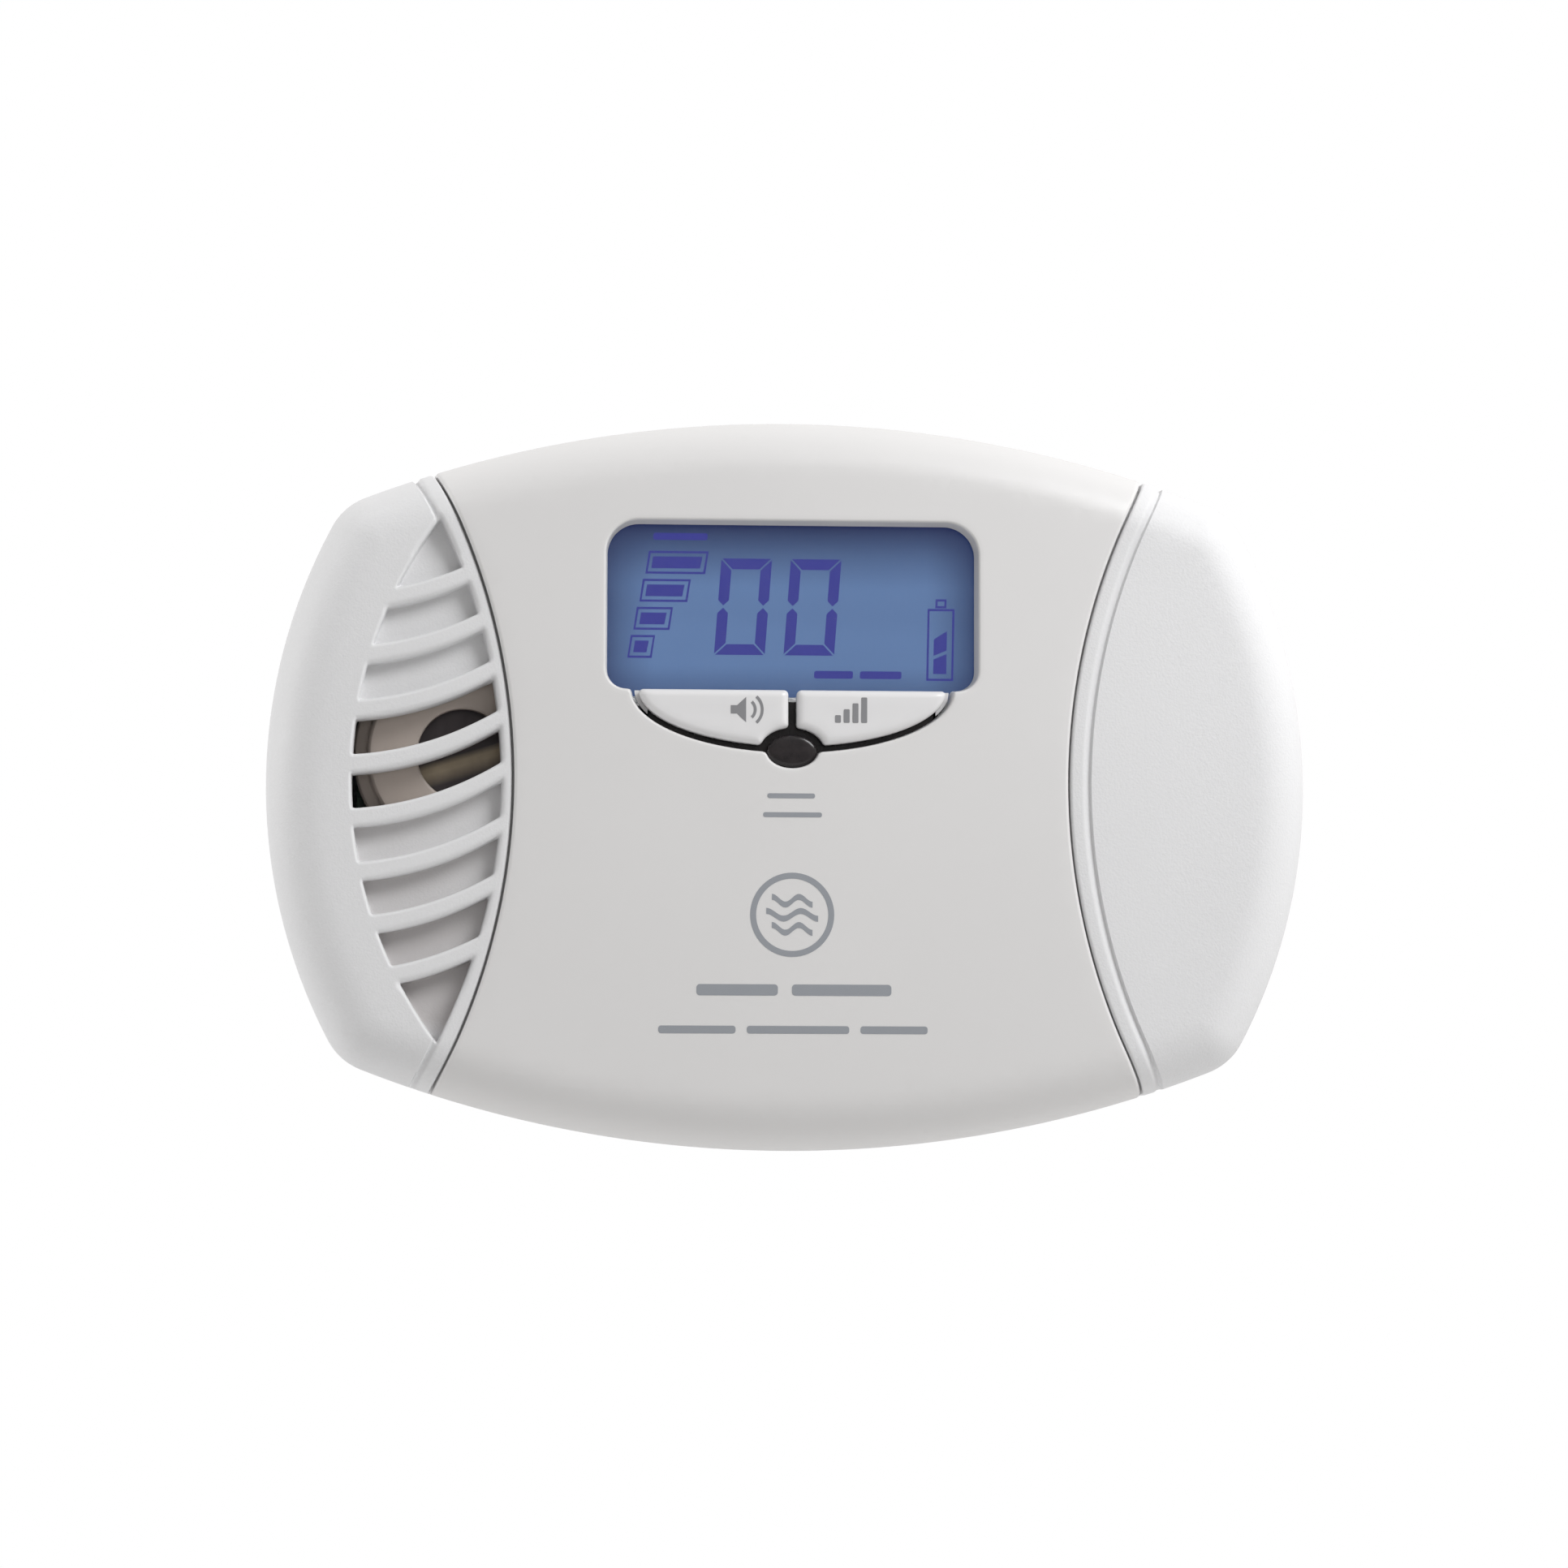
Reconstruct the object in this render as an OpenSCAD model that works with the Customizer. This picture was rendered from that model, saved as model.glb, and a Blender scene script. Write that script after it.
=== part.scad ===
// Wall-hung carbon monoxide alarm with a display, two push buttons and a sounder grille.
// The wall is the plane Y = 0 and the front faces -Y, with +Z up and +X to the right.
// The origin is the middle of the bracket's screw line. Depths are counted from the wall.

/* [Case] */
// Width of the case
case_w = 150; // [148:0.5:152]
// Height of the case
case_h = 105.1; // [104:0.1:106.5]
// Radius of the long left and right edges
side_r = 79; // [76:1:84]
// Radius of the long top and bottom edges
top_r = 169; // [160:1:180]
// Radius of the corners
corner_r = 9; // [8:0.5:10]
// Depth at which the front and back covers meet
seam_d = 18; // [17.5:0.1:18.5]
// Depth at which the front edge starts to roll over
rim_d = 27; // [26.5:0.1:27.5]
// Width of the rolled edge seen from the front
roll_w = 8; // [7:0.5:8.5]
// Depth of the rolled edge
roll_d = 9; // [8.8:0.1:9.2]
// How far the face swells out in the middle
crown = 1; // [0.6:0.1:1.2]
// Wall thickness of the front cover
wall = 2.6; // [2.5:0.1:2.8]

/* [Centre panel] */
// Half width of the panel at mid height
panel_half = 39.6; // [38.4:0.2:40]
// Distance from the middle to the centre of each waist arc
waist_c = 131.8; // [130:0.1:134]
// How far the panel stands proud of the wings
panel_rise = 0.6; // [0.4:0.1:0.8]
// Thickness of the panel
panel_t = 1.5; // [1.3:0.1:1.5]

/* [Window and buttons] */
// Half width of the display window
window_half = 26.7; // [26:0.1:26.9]
// Height of the window's lower edge
window_low = 13.1; // [13:0.1:13.4]
// Height of the window's upper edge
window_high = 37.3; // [36.5:0.1:37.5]
// Half width of the half oval that holds the buttons
button_half = 23.1; // [22.6:0.1:23.3]
// Drop of the half oval below the window
button_drop = 9; // [8.8:0.1:9.3]
// Height of the indicator's centre
lamp_z = 4.4; // [4.3:0.1:4.6]
// Travel of each button
button_travel = 0.8; // [0.6:0.1:0.8]

/* [Grille] */
// Radius of the grille's outer edge, struck from the middle of the case
grille_r = 62.8; // [62:0.2:63]
// Vertical pitch of the slats
slat_pitch = 7.7; // [7.5:0.1:7.9]
// Thickness of a slat
slat_t = 2.5; // [2.2:0.1:2.8]
// Radius along which each slat curves
slat_r = 45; // [44:1:56]

/* [Wall bracket] */
// Distance between the two screw holes
screw_gap = 50; // [46:1:52]
// Diameter of a screw hole
screw_hole = 4.5; // [4:0.1:5]
// Lift that frees the housing from its hooks
lift = 5; // [4.5:0.1:5]

/* [Battery bay] */
// Diameter of an AA cell
cell_d = 14.2; // [14:0.1:14.3]
// Length of an AA cell with its nub
cell_len = 50.5; // [50:0.1:50.5]

/* [Hidden] */
$fn = 48;

face_d = rim_d + roll_d;
// The edge arcs are struck from beyond the middle of the case
side_c = side_r - case_w / 2;
top_c = top_r - case_h / 2;
// Rear shell
rear_d = 0.6;
rear_wall = 2.2;
rear_draft = 2.4;
seam_inset = 0.5;
seam_gap = 0.3;
// Pocket that takes the bracket, and the bracket
bracket_x = 44;
bracket_low = -9;
bracket_high = 30.4;
bracket_t = 2.4;
pocket_gap = 0.6;
pocket_d = bracket_t + 0.4;
floor_t = 2;
hook_x = 34;
hook_w = 6;
hook_h = 4;
hook_lip = 4;
hook_lip_t = 1.5;
hook_lows = [2, 20];
neck_d = pocket_d + floor_t + 0.5;
// Cells and their bay
cell_zs = [-22.6, -37.1];
cell_y = 3.2 + cell_d / 2;
bay_x = 28.5;
bay_low = -44.4;
bay_high = -15.3;
bay_d = 18.2;
bay_wall = 1.4;
nub_len = 1.3;
cell_tip = 27.4;
// Battery door and its hinge
door_x = 30;
door_low = -40.6;
door_high = -15.1;
door_ledge = 0.8;
door_t = 2;
door_gap = 0.35;
hinge_z = -46;
hinge_d = 2.4;
knuckle_r = 1.7;
knuckle_x = 12;
knuckle_half = 4;
pin_r = 0.8;
pin_len = 36;
// Board
board_d = 20.8;
board_t = 1.6;
board_front = board_d + board_t;
board_x = 52;
board_low = -13;
board_high = 41;
// Display stack
lens_d = 32.2;
lens_t = 1.2;
lens_x = 28;
lens_low = 12.2;
lens_high = 39;
lcd_x = 27;
lcd_low = 12.6;
lcd_high = 38.4;
// Buttons
cap_gap = 1;
cap_back = 35.5;
cap_front = 38.1;
stem_x = 11;
stem_z = 8.6;
stem_r = 1.8;
switch_top = 27.2;
stem_end = switch_top + button_travel + 0.3;
lamp_half_x = 3.75;
lamp_half_z = 2.5;
// Horn behind the open slots
horn_x = -46.9;
horn_z = 4;
horn_r = 13.9;
horn_flange_r = 15.6;
horn_hole = 6.5;
horn_front = 31;
horn_back = 23;
// Gas sensor
sensor_x = 40;
sensor_z = 0;
// Case screws, latch notches and board posts
boss_x = 58;
boss_z = 33;
latch_x = 30;
latch_half = 4;
posts = [[-49, 37], [49, 37], [-36, -10], [49, -10]];
// Grille outline: an arc about the middle meets an arc about grille_c
grille_c = -123.9;
grille_r2 = 82.6;
apex_x = (grille_r2 * grille_r2 - grille_r * grille_r - grille_c * grille_c) / (-2 * grille_c);
apex_z = sqrt(grille_r * grille_r - apex_x * apex_x);
slat_c = -65.2;
slat_4 = 3.4;
slats = 8;

white = [0.86, 0.86, 0.87];
panel_white = [0.83, 0.82, 0.81];
steel = [0.75, 0.76, 0.78];
board_green = [0.10, 0.36, 0.20];

function arc_points(c, r, a0, a1, n) =
    [for (i = [0:n - 1]) c + r * [cos(a0 + (a1 - a0) * i / n), sin(a0 + (a1 - a0) * i / n)]];

// Centre of a corner arc lying ra from the side arc's centre and rb from the top arc's
function corner_centre(ra, rb) =
    let (d = norm([side_c, top_c]), a = (ra * ra - rb * rb + d * d) / (2 * d),
        h = sqrt(ra * ra - a * a), u = [side_c, -top_c] / d, v = [top_c, side_c] / d)
    [-side_c, 0] + a * u + h * v;

function quadrant(inset) =
    let (rc = max(corner_r - inset, 0.5),
        c = corner_centre(side_r - inset - rc, top_r - inset - rc),
        a0 = atan2(c.y, c.x + side_c), a1 = atan2(c.y + top_c, c.x))
    concat(arc_points([-side_c, 0], side_r - inset, 0, a0, 7), arc_points(c, rc, a0, a1, 5),
        arc_points([0, -top_c], top_r - inset, a1, 90, 8), [[0, top_r - inset - top_c]]);

// Outline of the case, drawn in by an even inset
function outline(inset) =
    let (q = quadrant(inset), n = len(q) - 1)
    concat(q, [for (i = [n - 1:-1:0]) [-q[i].x, q[i].y]], [for (i = [1:n]) [-q[i].x, -q[i].y]],
        [for (i = [n - 1:-1:1]) [q[i].x, -q[i].y]]);

function waist_x(half, z) = waist_c - sqrt(pow(waist_c - half, 2) - z * z);
function hourglass(half) =
    concat([for (z = [-60:4:60]) [waist_x(half, z), z]],
        [for (z = [60:-4:-60]) [-waist_x(half, z), z]]);

function grille_outline() =
    let (a = atan2(apex_z, apex_x), b = atan2(apex_z, apex_x - grille_c))
    concat(arc_points([0, 0], grille_r, a, 360 - a, 24),
        arc_points([grille_c, 0], grille_r2, -b, b, 24));

function slat_top(k, x) =
    slat_4 + slat_pitch * (4 - k) + slat_r - sqrt(slat_r * slat_r - pow(x - slat_c, 2));
// Space between slat k and slat k + 1
function slot_band(k) =
    concat([for (x = [-64:2:-38]) [x, k == slats ? -45 : slat_top(k + 1, x)]],
        [for (x = [-38:-2:-64]) [x, k == 0 ? 45 : slat_top(k, x) - slat_t]]);

function round_rect(x, low, high, r_low, r_high) =
    concat(arc_points([x - r_low, low + r_low], r_low, -90, 0, 6), [[x, low + r_low]],
        arc_points([x - r_high, high - r_high], r_high, 0, 90, 8), [[x - r_high, high]],
        arc_points([-x + r_high, high - r_high], r_high, 90, 180, 8), [[-x, high - r_high]],
        arc_points([-x + r_low, low + r_low], r_low, 180, 270, 6), [[-x + r_low, low]]);

function ellipse(cz, a, b, n = 40) =
    [for (i = [0:n - 1]) [a * cos(360 * i / n), cz + b * sin(360 * i / n)]];
function half_oval(a, b) =
    concat([for (i = [0:36]) [a * cos(180 + 5 * i), window_low + b * sin(180 + 5 * i)]],
        [[a, window_low + 1], [-a, window_low + 1]]);

// Extrudes a flat shape drawn in X and Z between two depths
module between(d0, d1)
    translate([0, -d0, 0]) rotate([90, 0, 0]) linear_extrude(d1 - d0) children();

module slab(x0, x1, d0, d1, z0, z1) translate([x0, -d1, z0]) cube([x1 - x0, d1 - d0, z1 - z0]);

// Cylinder along the depth
module rod(x, z, r, d0, d1) translate([x, -d0, z]) rotate([90, 0, 0]) cylinder(r = r, h = d1 - d0);

module slice(inset, d) between(d, d + 0.02) polygon(outline(inset));

// Front shape of the case, drawn in by gap and stopped short of the face by drop
module dome(gap, drop, base) hull() {
    slice(seam_inset + gap, base);
    for (a = [0:15:90]) slice(gap + roll_w * (1 - cos(a)), rim_d + (roll_d - drop) * sin(a));
    for (s = [0.85, 0.6, 0.3]) between(face_d - drop + crown * (1 - s * s) - 0.02,
        face_d - drop + crown * (1 - s * s)) polygon(s * outline(gap + roll_w));
}

// Rear shape of the case, drawn in by gap
module rear_form(gap, d0, d1) hull() {
    slice(rear_draft + gap + 1.2, d0);
    slice(rear_draft + gap + 0.3, d0 + 0.5);
    slice(rear_draft + gap, d0 + 1.4);
    slice(seam_inset + gap, d1 - 0.02);
}

module face_openings(grow, d0, d1) {
    between(d0, d1) polygon(round_rect(window_half + grow, window_low - grow, window_high + grow, 3, 4.8));
    between(d0, d1) polygon(half_oval(button_half + grow, button_drop + grow));
    between(d0, d1) polygon(ellipse(lamp_z, lamp_half_x + grow, lamp_half_z + grow));
}

module grille_cells(list, d0) intersection() {
    between(d0, 42) polygon(grille_outline());
    union() for (k = list) between(d0 - 1, 43) polygon(slot_band(k));
}

// Groove struck about a waist centre, on one side
module groove_band(side) between(20, 42)
    polygon(concat([for (z = [-60:4:60]) [side * waist_x(41.9, z), z]],
        [for (z = [60:-4:-60]) [side * waist_x(42.9, z), z]]));

module front_cover() color(white) difference() {
    union() {
        difference() {
            dome(0, 0, seam_d);
            dome(wall, wall, seam_d - 1);
        }
        // Thicker land behind the grille, bosses for the case screws and a collar for the lens
        intersection() {
            dome(0.6, 0.6, seam_d);
            union() {
                between(31.6, 40) polygon([for (p = grille_outline()) [p.x * 1.03 + 1.6, p.y * 1.05]]);
                for (x = [-boss_x, boss_x], z = [-boss_z, boss_z]) rod(x, z, 3.3, seam_d + 0.2, 40);
                between(lens_d + lens_t + 0.1, 36)
                    polygon(round_rect(window_half + 1.6, window_low - 0.4, window_high + 1.4, 3, 4.8));
            }
        }
    }
    // Seat for the centre panel
    difference() {
        between(21.8, 45) polygon(hourglass(panel_half + 0.35));
        dome(panel_t + 0.1, panel_t + 0.1, seam_d - 2);
    }
    // Soft grooves beside the wings, the left one only above and below the grille,
    // where each end runs 1 mm into the grille's pointed end
    difference() {
        union() {
            groove_band(1);
            difference() {
                groove_band(-1);
                slab(-60, -30, 10, 50, 1 - apex_z, apex_z - 1);
            }
        }
        dome(0.7, 0.7, seam_d - 3);
    }
    face_openings(0.5, 28, 42);
    grille_cells([0, 1, 2, 5, 6, 7, 8], 33.9);
    grille_cells([3, 4], 28);
    for (x = [-boss_x, boss_x], z = [-boss_z, boss_z]) rod(x, z, 1.3, seam_d - 1, 30);
    // Latch notches on the lower edge
    for (s = [-1, 1]) slab(s * latch_x - latch_half, s * latch_x + latch_half, 17, 19.4, -60, -47);
}

module centre_panel() color(panel_white) difference() {
    intersection() {
        dome(0, -panel_rise, seam_d - 1);
        between(22, 45) polygon(hourglass(panel_half));
    }
    dome(panel_t, panel_t, seam_d - 3);
    face_openings(0, 28, 42);
}

module back_cover() color(white) difference() {
    union() {
        difference() {
            rear_form(0, rear_d, seam_d - seam_gap);
            rear_form(rear_wall, rear_d + rear_wall, seam_d + 1);
        }
        slab(-bracket_x - 2.4, bracket_x + 2.4, rear_d + 0.1, pocket_d + floor_t,
            bracket_low - lift - 2.2, bracket_high + 2.6);
        slab(-bay_x - 2.6, bay_x + 2.6, rear_d + 0.1, bay_d + bay_wall,
            bay_low - bay_wall, bay_high + bay_wall);
        // Bar that carries the hinge
        slab(-19, 19, rear_d + 0.1, 5.6, hinge_z - 2.6, hinge_z + 2);
        for (x = [-boss_x, boss_x], z = [-boss_z, boss_z]) rod(x, z, 3.9, rear_d + 1, seam_d - seam_gap);
        for (p = posts) rod(p.x, p.y, 2.8, rear_d + 1, board_d - 0.1);
    }
    // Pocket for the bracket and slots for its hooks
    slab(-bracket_x - pocket_gap, bracket_x + pocket_gap, -1, pocket_d,
        bracket_low - lift - pocket_gap, bracket_high + pocket_gap);
    for (x = [-hook_x, hook_x], z = hook_lows)
        slab(x - hook_w / 2 - 0.4, x + hook_w / 2 + 0.4, 0, pocket_d + floor_t + 1,
            z - lift - 0.3, z + hook_h + 0.1);
    // Battery bay, its door's seat and the knuckle wells
    slab(-bay_x, bay_x, rear_d + rear_wall + 0.2, bay_d, bay_low, bay_high);
    slab(-bay_x, bay_x, -1, rear_d + rear_wall + 0.3, door_low + door_ledge, door_high - door_ledge);
    slab(-door_x - door_gap, door_x + door_gap, -1, rear_d + door_t + 0.2,
        door_low - door_gap, door_high + door_gap);
    for (s = [-1, 1])
        slab(s * knuckle_x - knuckle_half - 0.3, s * knuckle_x + knuckle_half + 0.3, -1, 4.8,
            hinge_z - 2.1, door_low);
    translate([-19.5, -hinge_d, hinge_z]) rotate([0, 90, 0]) cylinder(r = pin_r + 0.02, h = 39);
    for (x = [-boss_x, boss_x], z = [-boss_z, boss_z]) {
        rod(x, z, 1.7, -1, seam_d + 1);
        rod(x, z, 3.1, -1, 6);
    }
    for (p = posts) rod(p.x, p.y, 1, 12, board_d + 1);
    // Rows of air slots in the rear wall, above the pocket
    for (s = [-1, 1], i = [0:5]) slab(s * (8 + 5 * i) - 1, s * (8 + 5 * i) + 1, -1, 4, 35.5, 43);
    // Wire holes in the bay's upper wall
    for (x = [-24, 24]) translate([x, -14, bay_high - 1]) cylinder(r = 1.2, h = 4);
}

module wall_bracket() color(white) difference() {
    union() {
        between(0, bracket_t) polygon(round_rect(bracket_x, bracket_low, bracket_high, 5, 5));
        for (x = [-hook_x, hook_x], z = hook_lows) {
            slab(x - hook_w / 2, x + hook_w / 2, bracket_t - 0.5, neck_d + hook_lip_t, z, z + hook_h);
            slab(x - hook_w / 2, x + hook_w / 2, neck_d, neck_d + hook_lip_t, z, z + hook_h + hook_lip);
        }
    }
    for (x = [-screw_gap / 2, screw_gap / 2]) rod(x, 0, screw_hole / 2, -1, bracket_t + 1);
    // Openings that lighten the plate
    for (s = [-1, 1]) slab(s * 14 - 8, s * 14 + 8, -1, bracket_t + 1, 9, 24);
}

module battery_door() color(white) difference() {
    union() {
        slab(-door_x, door_x, rear_d, rear_d + door_t, door_low, door_high);
        for (s = [-1, 1]) {
            translate([s * knuckle_x - knuckle_half, -hinge_d, hinge_z]) rotate([0, 90, 0])
                cylinder(r = knuckle_r, h = 2 * knuckle_half);
            slab(s * knuckle_x - knuckle_half, s * knuckle_x + knuckle_half, hinge_d - 1.5, hinge_d,
                hinge_z, door_low + 0.5);
        }
    }
    translate([-20, -hinge_d, hinge_z]) rotate([0, 90, 0]) cylinder(r = pin_r + 0.05, h = 40);
    // Finger scoop and grip lines
    slab(-9, 9, 0, rear_d + 0.8, door_high - 5, door_high + 1);
    for (i = [0:3]) slab(-9, 9, 0, rear_d + 0.5, door_high - 7.6 - 2 * i, door_high - 6.8 - 2 * i);
}

module door_hinge_pin() color(steel)
    translate([-pin_len / 2, -hinge_d, hinge_z]) rotate([0, 90, 0]) cylinder(r = pin_r, h = pin_len);

// One push button: a cap with one edge cut round the indicator, a skirt, a stop flange and a stem
module push_button(side) {
    difference() {
        union() {
            between(cap_back, cap_front) polygon(half_oval(button_half - cap_gap, button_drop - cap_gap));
            intersection() {
                between(33, cap_back + 0.1)
                    polygon(half_oval(button_half - cap_gap, button_drop - cap_gap));
                slab(-30, 30, 30, 40, 0, 11.4);
            }
            intersection() {
                between(33, 33.9) polygon(half_oval(button_half + 1.1, button_drop + 1.2));
                slab(side > 0 ? 6 : -30, side > 0 ? 30 : -6, 30, 40, 0, 11.4);
            }
        }
        slab(side > 0 ? -40 : -0.6, side > 0 ? 0.6 : 40, 30, 40, -10, 20);
        between(30, 40) polygon(ellipse(lamp_z, lamp_half_x + 0.9, lamp_half_z + 0.8));
        slab(-30, 30, 30, 40, window_low, 20);
    }
    rod(side * stem_x, stem_z, stem_r, stem_end, 33.5);
}

module test_button() color([0.88, 0.87, 0.87]) push_button(-1);

module peak_button() color([0.88, 0.87, 0.87]) push_button(1);

module display_lens() color([0.35, 0.45, 0.62, 0.5])
    between(lens_d, lens_d + lens_t) polygon(round_rect(lens_x, lens_low, lens_high, 1, 3));

module lcd_frame() color([0.93, 0.93, 0.9]) difference() {
    slab(-lcd_x - 1.5, lcd_x + 1.5, 27, lens_d - 0.1, 11, 40);
    slab(-lcd_x - 0.2, lcd_x + 0.2, 29.9, 33, lcd_low - 0.2, lcd_high + 0.2);
    slab(-lcd_x + 1.5, lcd_x - 1.5, 26, 31, lcd_low + 1, lcd_high - 0.1);
}

module lcd_glass() color([0.40, 0.49, 0.66]) slab(-lcd_x, lcd_x, 30, 32, lcd_low, lcd_high);

module backlight_panel() color([0.9, 0.93, 1]) slab(-25, 25, 27.4, 29.7, 14, 35.6);

module lcd_connector() color([0.25, 0.25, 0.27]) slab(-22, 22, board_front, 29.9, 36, 37.8);

module indicator_lens() color([0.08, 0.06, 0.07]) {
    between(28.4, 36.8) polygon(ellipse(lamp_z, lamp_half_x - 0.15, lamp_half_z - 0.15));
    between(32.6, 33.6) polygon(ellipse(lamp_z, lamp_half_x + 0.7, lamp_half_z + 0.5));
}

module status_leds() color([0.9, 0.9, 0.9, 0.8]) for (x = [-3.4, 0, 3.4]) {
    rod(x, lamp_z, 1.5, board_front, 26.6);
    translate([x, -26.6, lamp_z]) sphere(r = 1.5);
}

module tact_switches() color([0.2, 0.2, 0.22]) for (s = [-1, 1]) {
    slab(s * stem_x - 3, s * stem_x + 3, board_front, 26, stem_z - 3, stem_z + 3);
    rod(s * stem_x, stem_z, 1.7, 26, switch_top);
}

module main_board() color(board_green) difference() {
    union() {
        slab(-board_x, board_x, board_d, board_front, board_low, board_high);
        slab(-62, -board_x + 1, board_d, board_front, -12, 20);
    }
    for (p = posts) rod(p.x, p.y, 1.2, 19, 24);
}

module co_sensor() color([0.30, 0.31, 0.33]) {
    rod(sensor_x, sensor_z, 10, board_front + 0.6, 31);
    for (a = [90, 210, 330])
        rod(sensor_x + 6 * cos(a), sensor_z + 6 * sin(a), 0.6, board_front, board_front + 0.6);
}

module sensor_filter() color([0.85, 0.85, 0.83]) difference() {
    rod(sensor_x, sensor_z, 10.8, 29, 32.6);
    rod(sensor_x, sensor_z, 10.1, 28, 31.1);
    for (i = [0:5]) rod(sensor_x + 5 * cos(60 * i), sensor_z + 5 * sin(60 * i), 1, 28, 34);
}

module horn_housing() color([0.55, 0.51, 0.48]) difference() {
    union() {
        rod(horn_x, horn_z, horn_r, horn_back, horn_front);
        rod(horn_x, horn_z, horn_flange_r, horn_back, horn_back + 2);
    }
    rod(horn_x, horn_z, horn_hole, horn_back - 1, horn_front + 1);
    rod(horn_x, horn_z, horn_r - 1.4, horn_back - 1, horn_front - 1.6);
}

module piezo_disc() color([0.72, 0.58, 0.32]) {
    rod(horn_x, horn_z, 11.8, 27.4, 27.8);
    rod(horn_x, horn_z, 8, 27.8, 28.1);
}

module horn_gasket() color([0.15, 0.15, 0.15]) difference() {
    rod(horn_x, horn_z, 12.2, board_front, 27.3);
    rod(horn_x, horn_z, 10.2, board_front - 1, 28);
}

module microcontroller() color([0.12, 0.12, 0.13]) {
    slab(-6, 6, board_front + 0.3, board_front + 1.9, -10, -1);
    for (i = [0:9], z = [-11, -1]) slab(-5.4 + 1.2 * i - 0.2, -5.4 + 1.2 * i + 0.2,
        board_front, board_front + 0.6, z, z + 1);
}

module small_chips() color([0.14, 0.14, 0.15]) {
    for (x = [-24, -17, 14, 22]) slab(x - 2.4, x + 2.4, board_front, board_front + 1.6, -8, -4);
    for (i = [0:7]) slab(-28 + 7 * i, -26 + 7 * i, board_front, board_front + 0.7, -12.7, -11.5);
}

module capacitors() color([0.2, 0.22, 0.35]) {
    rod(-24, 3, 4, board_front, 32);
    rod(24, 4, 3.2, board_front, 30);
    rod(45, 20, 4, board_front, 32);
}

module battery_cells() color([0.25, 0.27, 0.3]) for (i = [0, 1]) {
    s = i == 0 ? -1 : 1;
    translate([s * (cell_tip - nub_len), -cell_y, cell_zs[i]]) rotate([0, -90 * s, 0]) {
        cylinder(r = cell_d / 2, h = cell_len - nub_len);
        translate([0, 0, -nub_len]) cylinder(r = 2.6, h = nub_len + 0.1);
    }
}

// Ring of points round a coil that widens as it climbs
function coil_ring(t, turns, r0, r1, h, wire) =
    let (a = 360 * turns * t, r = r0 + (r1 - r0) * t)
    [for (j = [0:5]) let (b = 60 * j) [(r + wire * cos(b)) * cos(a), (r + wire * cos(b)) * sin(a),
        h * t + wire * sin(b)]];

module coil(turns, r0, r1, h, wire) {
    n = turns * 16;
    points = [for (i = [0:n]) each coil_ring(i / n, turns, r0, r1, h, wire)];
    sides = [for (i = [0:n - 1], j = [0:5]) [6 * i + (j + 1) % 6, 6 * i + 6 + (j + 1) % 6,
        6 * i + 6 + j, 6 * i + j]];
    polyhedron(points, concat(sides, [[5, 4, 3, 2, 1, 0]],
        [[for (j = [0:5]) 6 * n + j]]), convexity = 8);
}

module spring_contacts() color(steel) for (i = [0, 1]) {
    s = i == 0 ? 1 : -1;
    slab(s > 0 ? 27.8 : -28.3, s > 0 ? 28.3 : -27.8, 4, 17, cell_zs[i] - 5.5, cell_zs[i] + 5.5);
    translate([s * 23.6, -cell_y, cell_zs[i]]) rotate([0, 90 * s, 0]) coil(3, 2.4, 4.4, 3.7, 0.35);
}

module flat_contacts() color(steel) for (i = [0, 1]) {
    s = i == 0 ? -1 : 1;
    slab(s > 0 ? 27.6 : -28.3, s > 0 ? 28.3 : -27.6, 4, 17, cell_zs[i] - 5.5, cell_zs[i] + 5.5);
}

module battery_ribbon() color([0.15, 0.25, 0.6])
    slab(-4, 4, bay_d - 0.5, bay_d - 0.2, bay_low + 0.6, bay_high - 0.6);

// Round wire through a list of points, as straight runs with round elbows
module wire(points, r) for (i = [0:len(points) - 2]) {
    v = points[i + 1] - points[i];
    translate(points[i]) sphere(r = r, $fn = 16);
    translate(points[i]) rotate([0, acos(v.z / norm(v)), atan2(v.y, v.x)])
        cylinder(r = r, h = norm(v), $fn = 16);
}

module battery_wires() color([0.7, 0.1, 0.1]) for (s = [-1, 1])
    wire([[s * 24, -14, bay_high + 0.4], [s * 24, -14, -12.4], [s * 24, -17, -11],
        [s * 24, -board_d, -11]], 0.7);

module horn_wires() color([0.1, 0.1, 0.1]) for (a = [135, 225])
    translate([horn_x, 0, horn_z]) rotate([0, -a, 0])
        wire([[17, -board_front - 0.5, 0], [17, -26.2, 0], [14.4, -26.8, 0]], 0.45);

module case_screws() color(steel) for (x = [-boss_x, boss_x], z = [-boss_z, boss_z]) difference() {
    union() {
        rod(x, z, 2.8, 3.8, 5.9);
        rod(x, z, 1.25, 5.8, 27);
    }
    slab(x - 2, x + 2, 3, 4.8, z - 0.4, z + 0.4);
    slab(x - 0.4, x + 0.4, 3, 4.8, z - 2, z + 2);
}

module board_screws() color(steel) for (p = posts) difference() {
    union() {
        rod(p.x, p.y, 2.1, board_front + 0.05, board_front + 1.5);
        rod(p.x, p.y, 0.95, 13, board_front + 0.1);
    }
    slab(p.x - 1.5, p.x + 1.5, board_front + 0.9, 30, p.y - 0.3, p.y + 0.3);
}

module blank_label() color([0.8, 0.81, 0.82])
    slab(-27, 27, pocket_d - 0.25, pocket_d, 12, 26);

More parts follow.
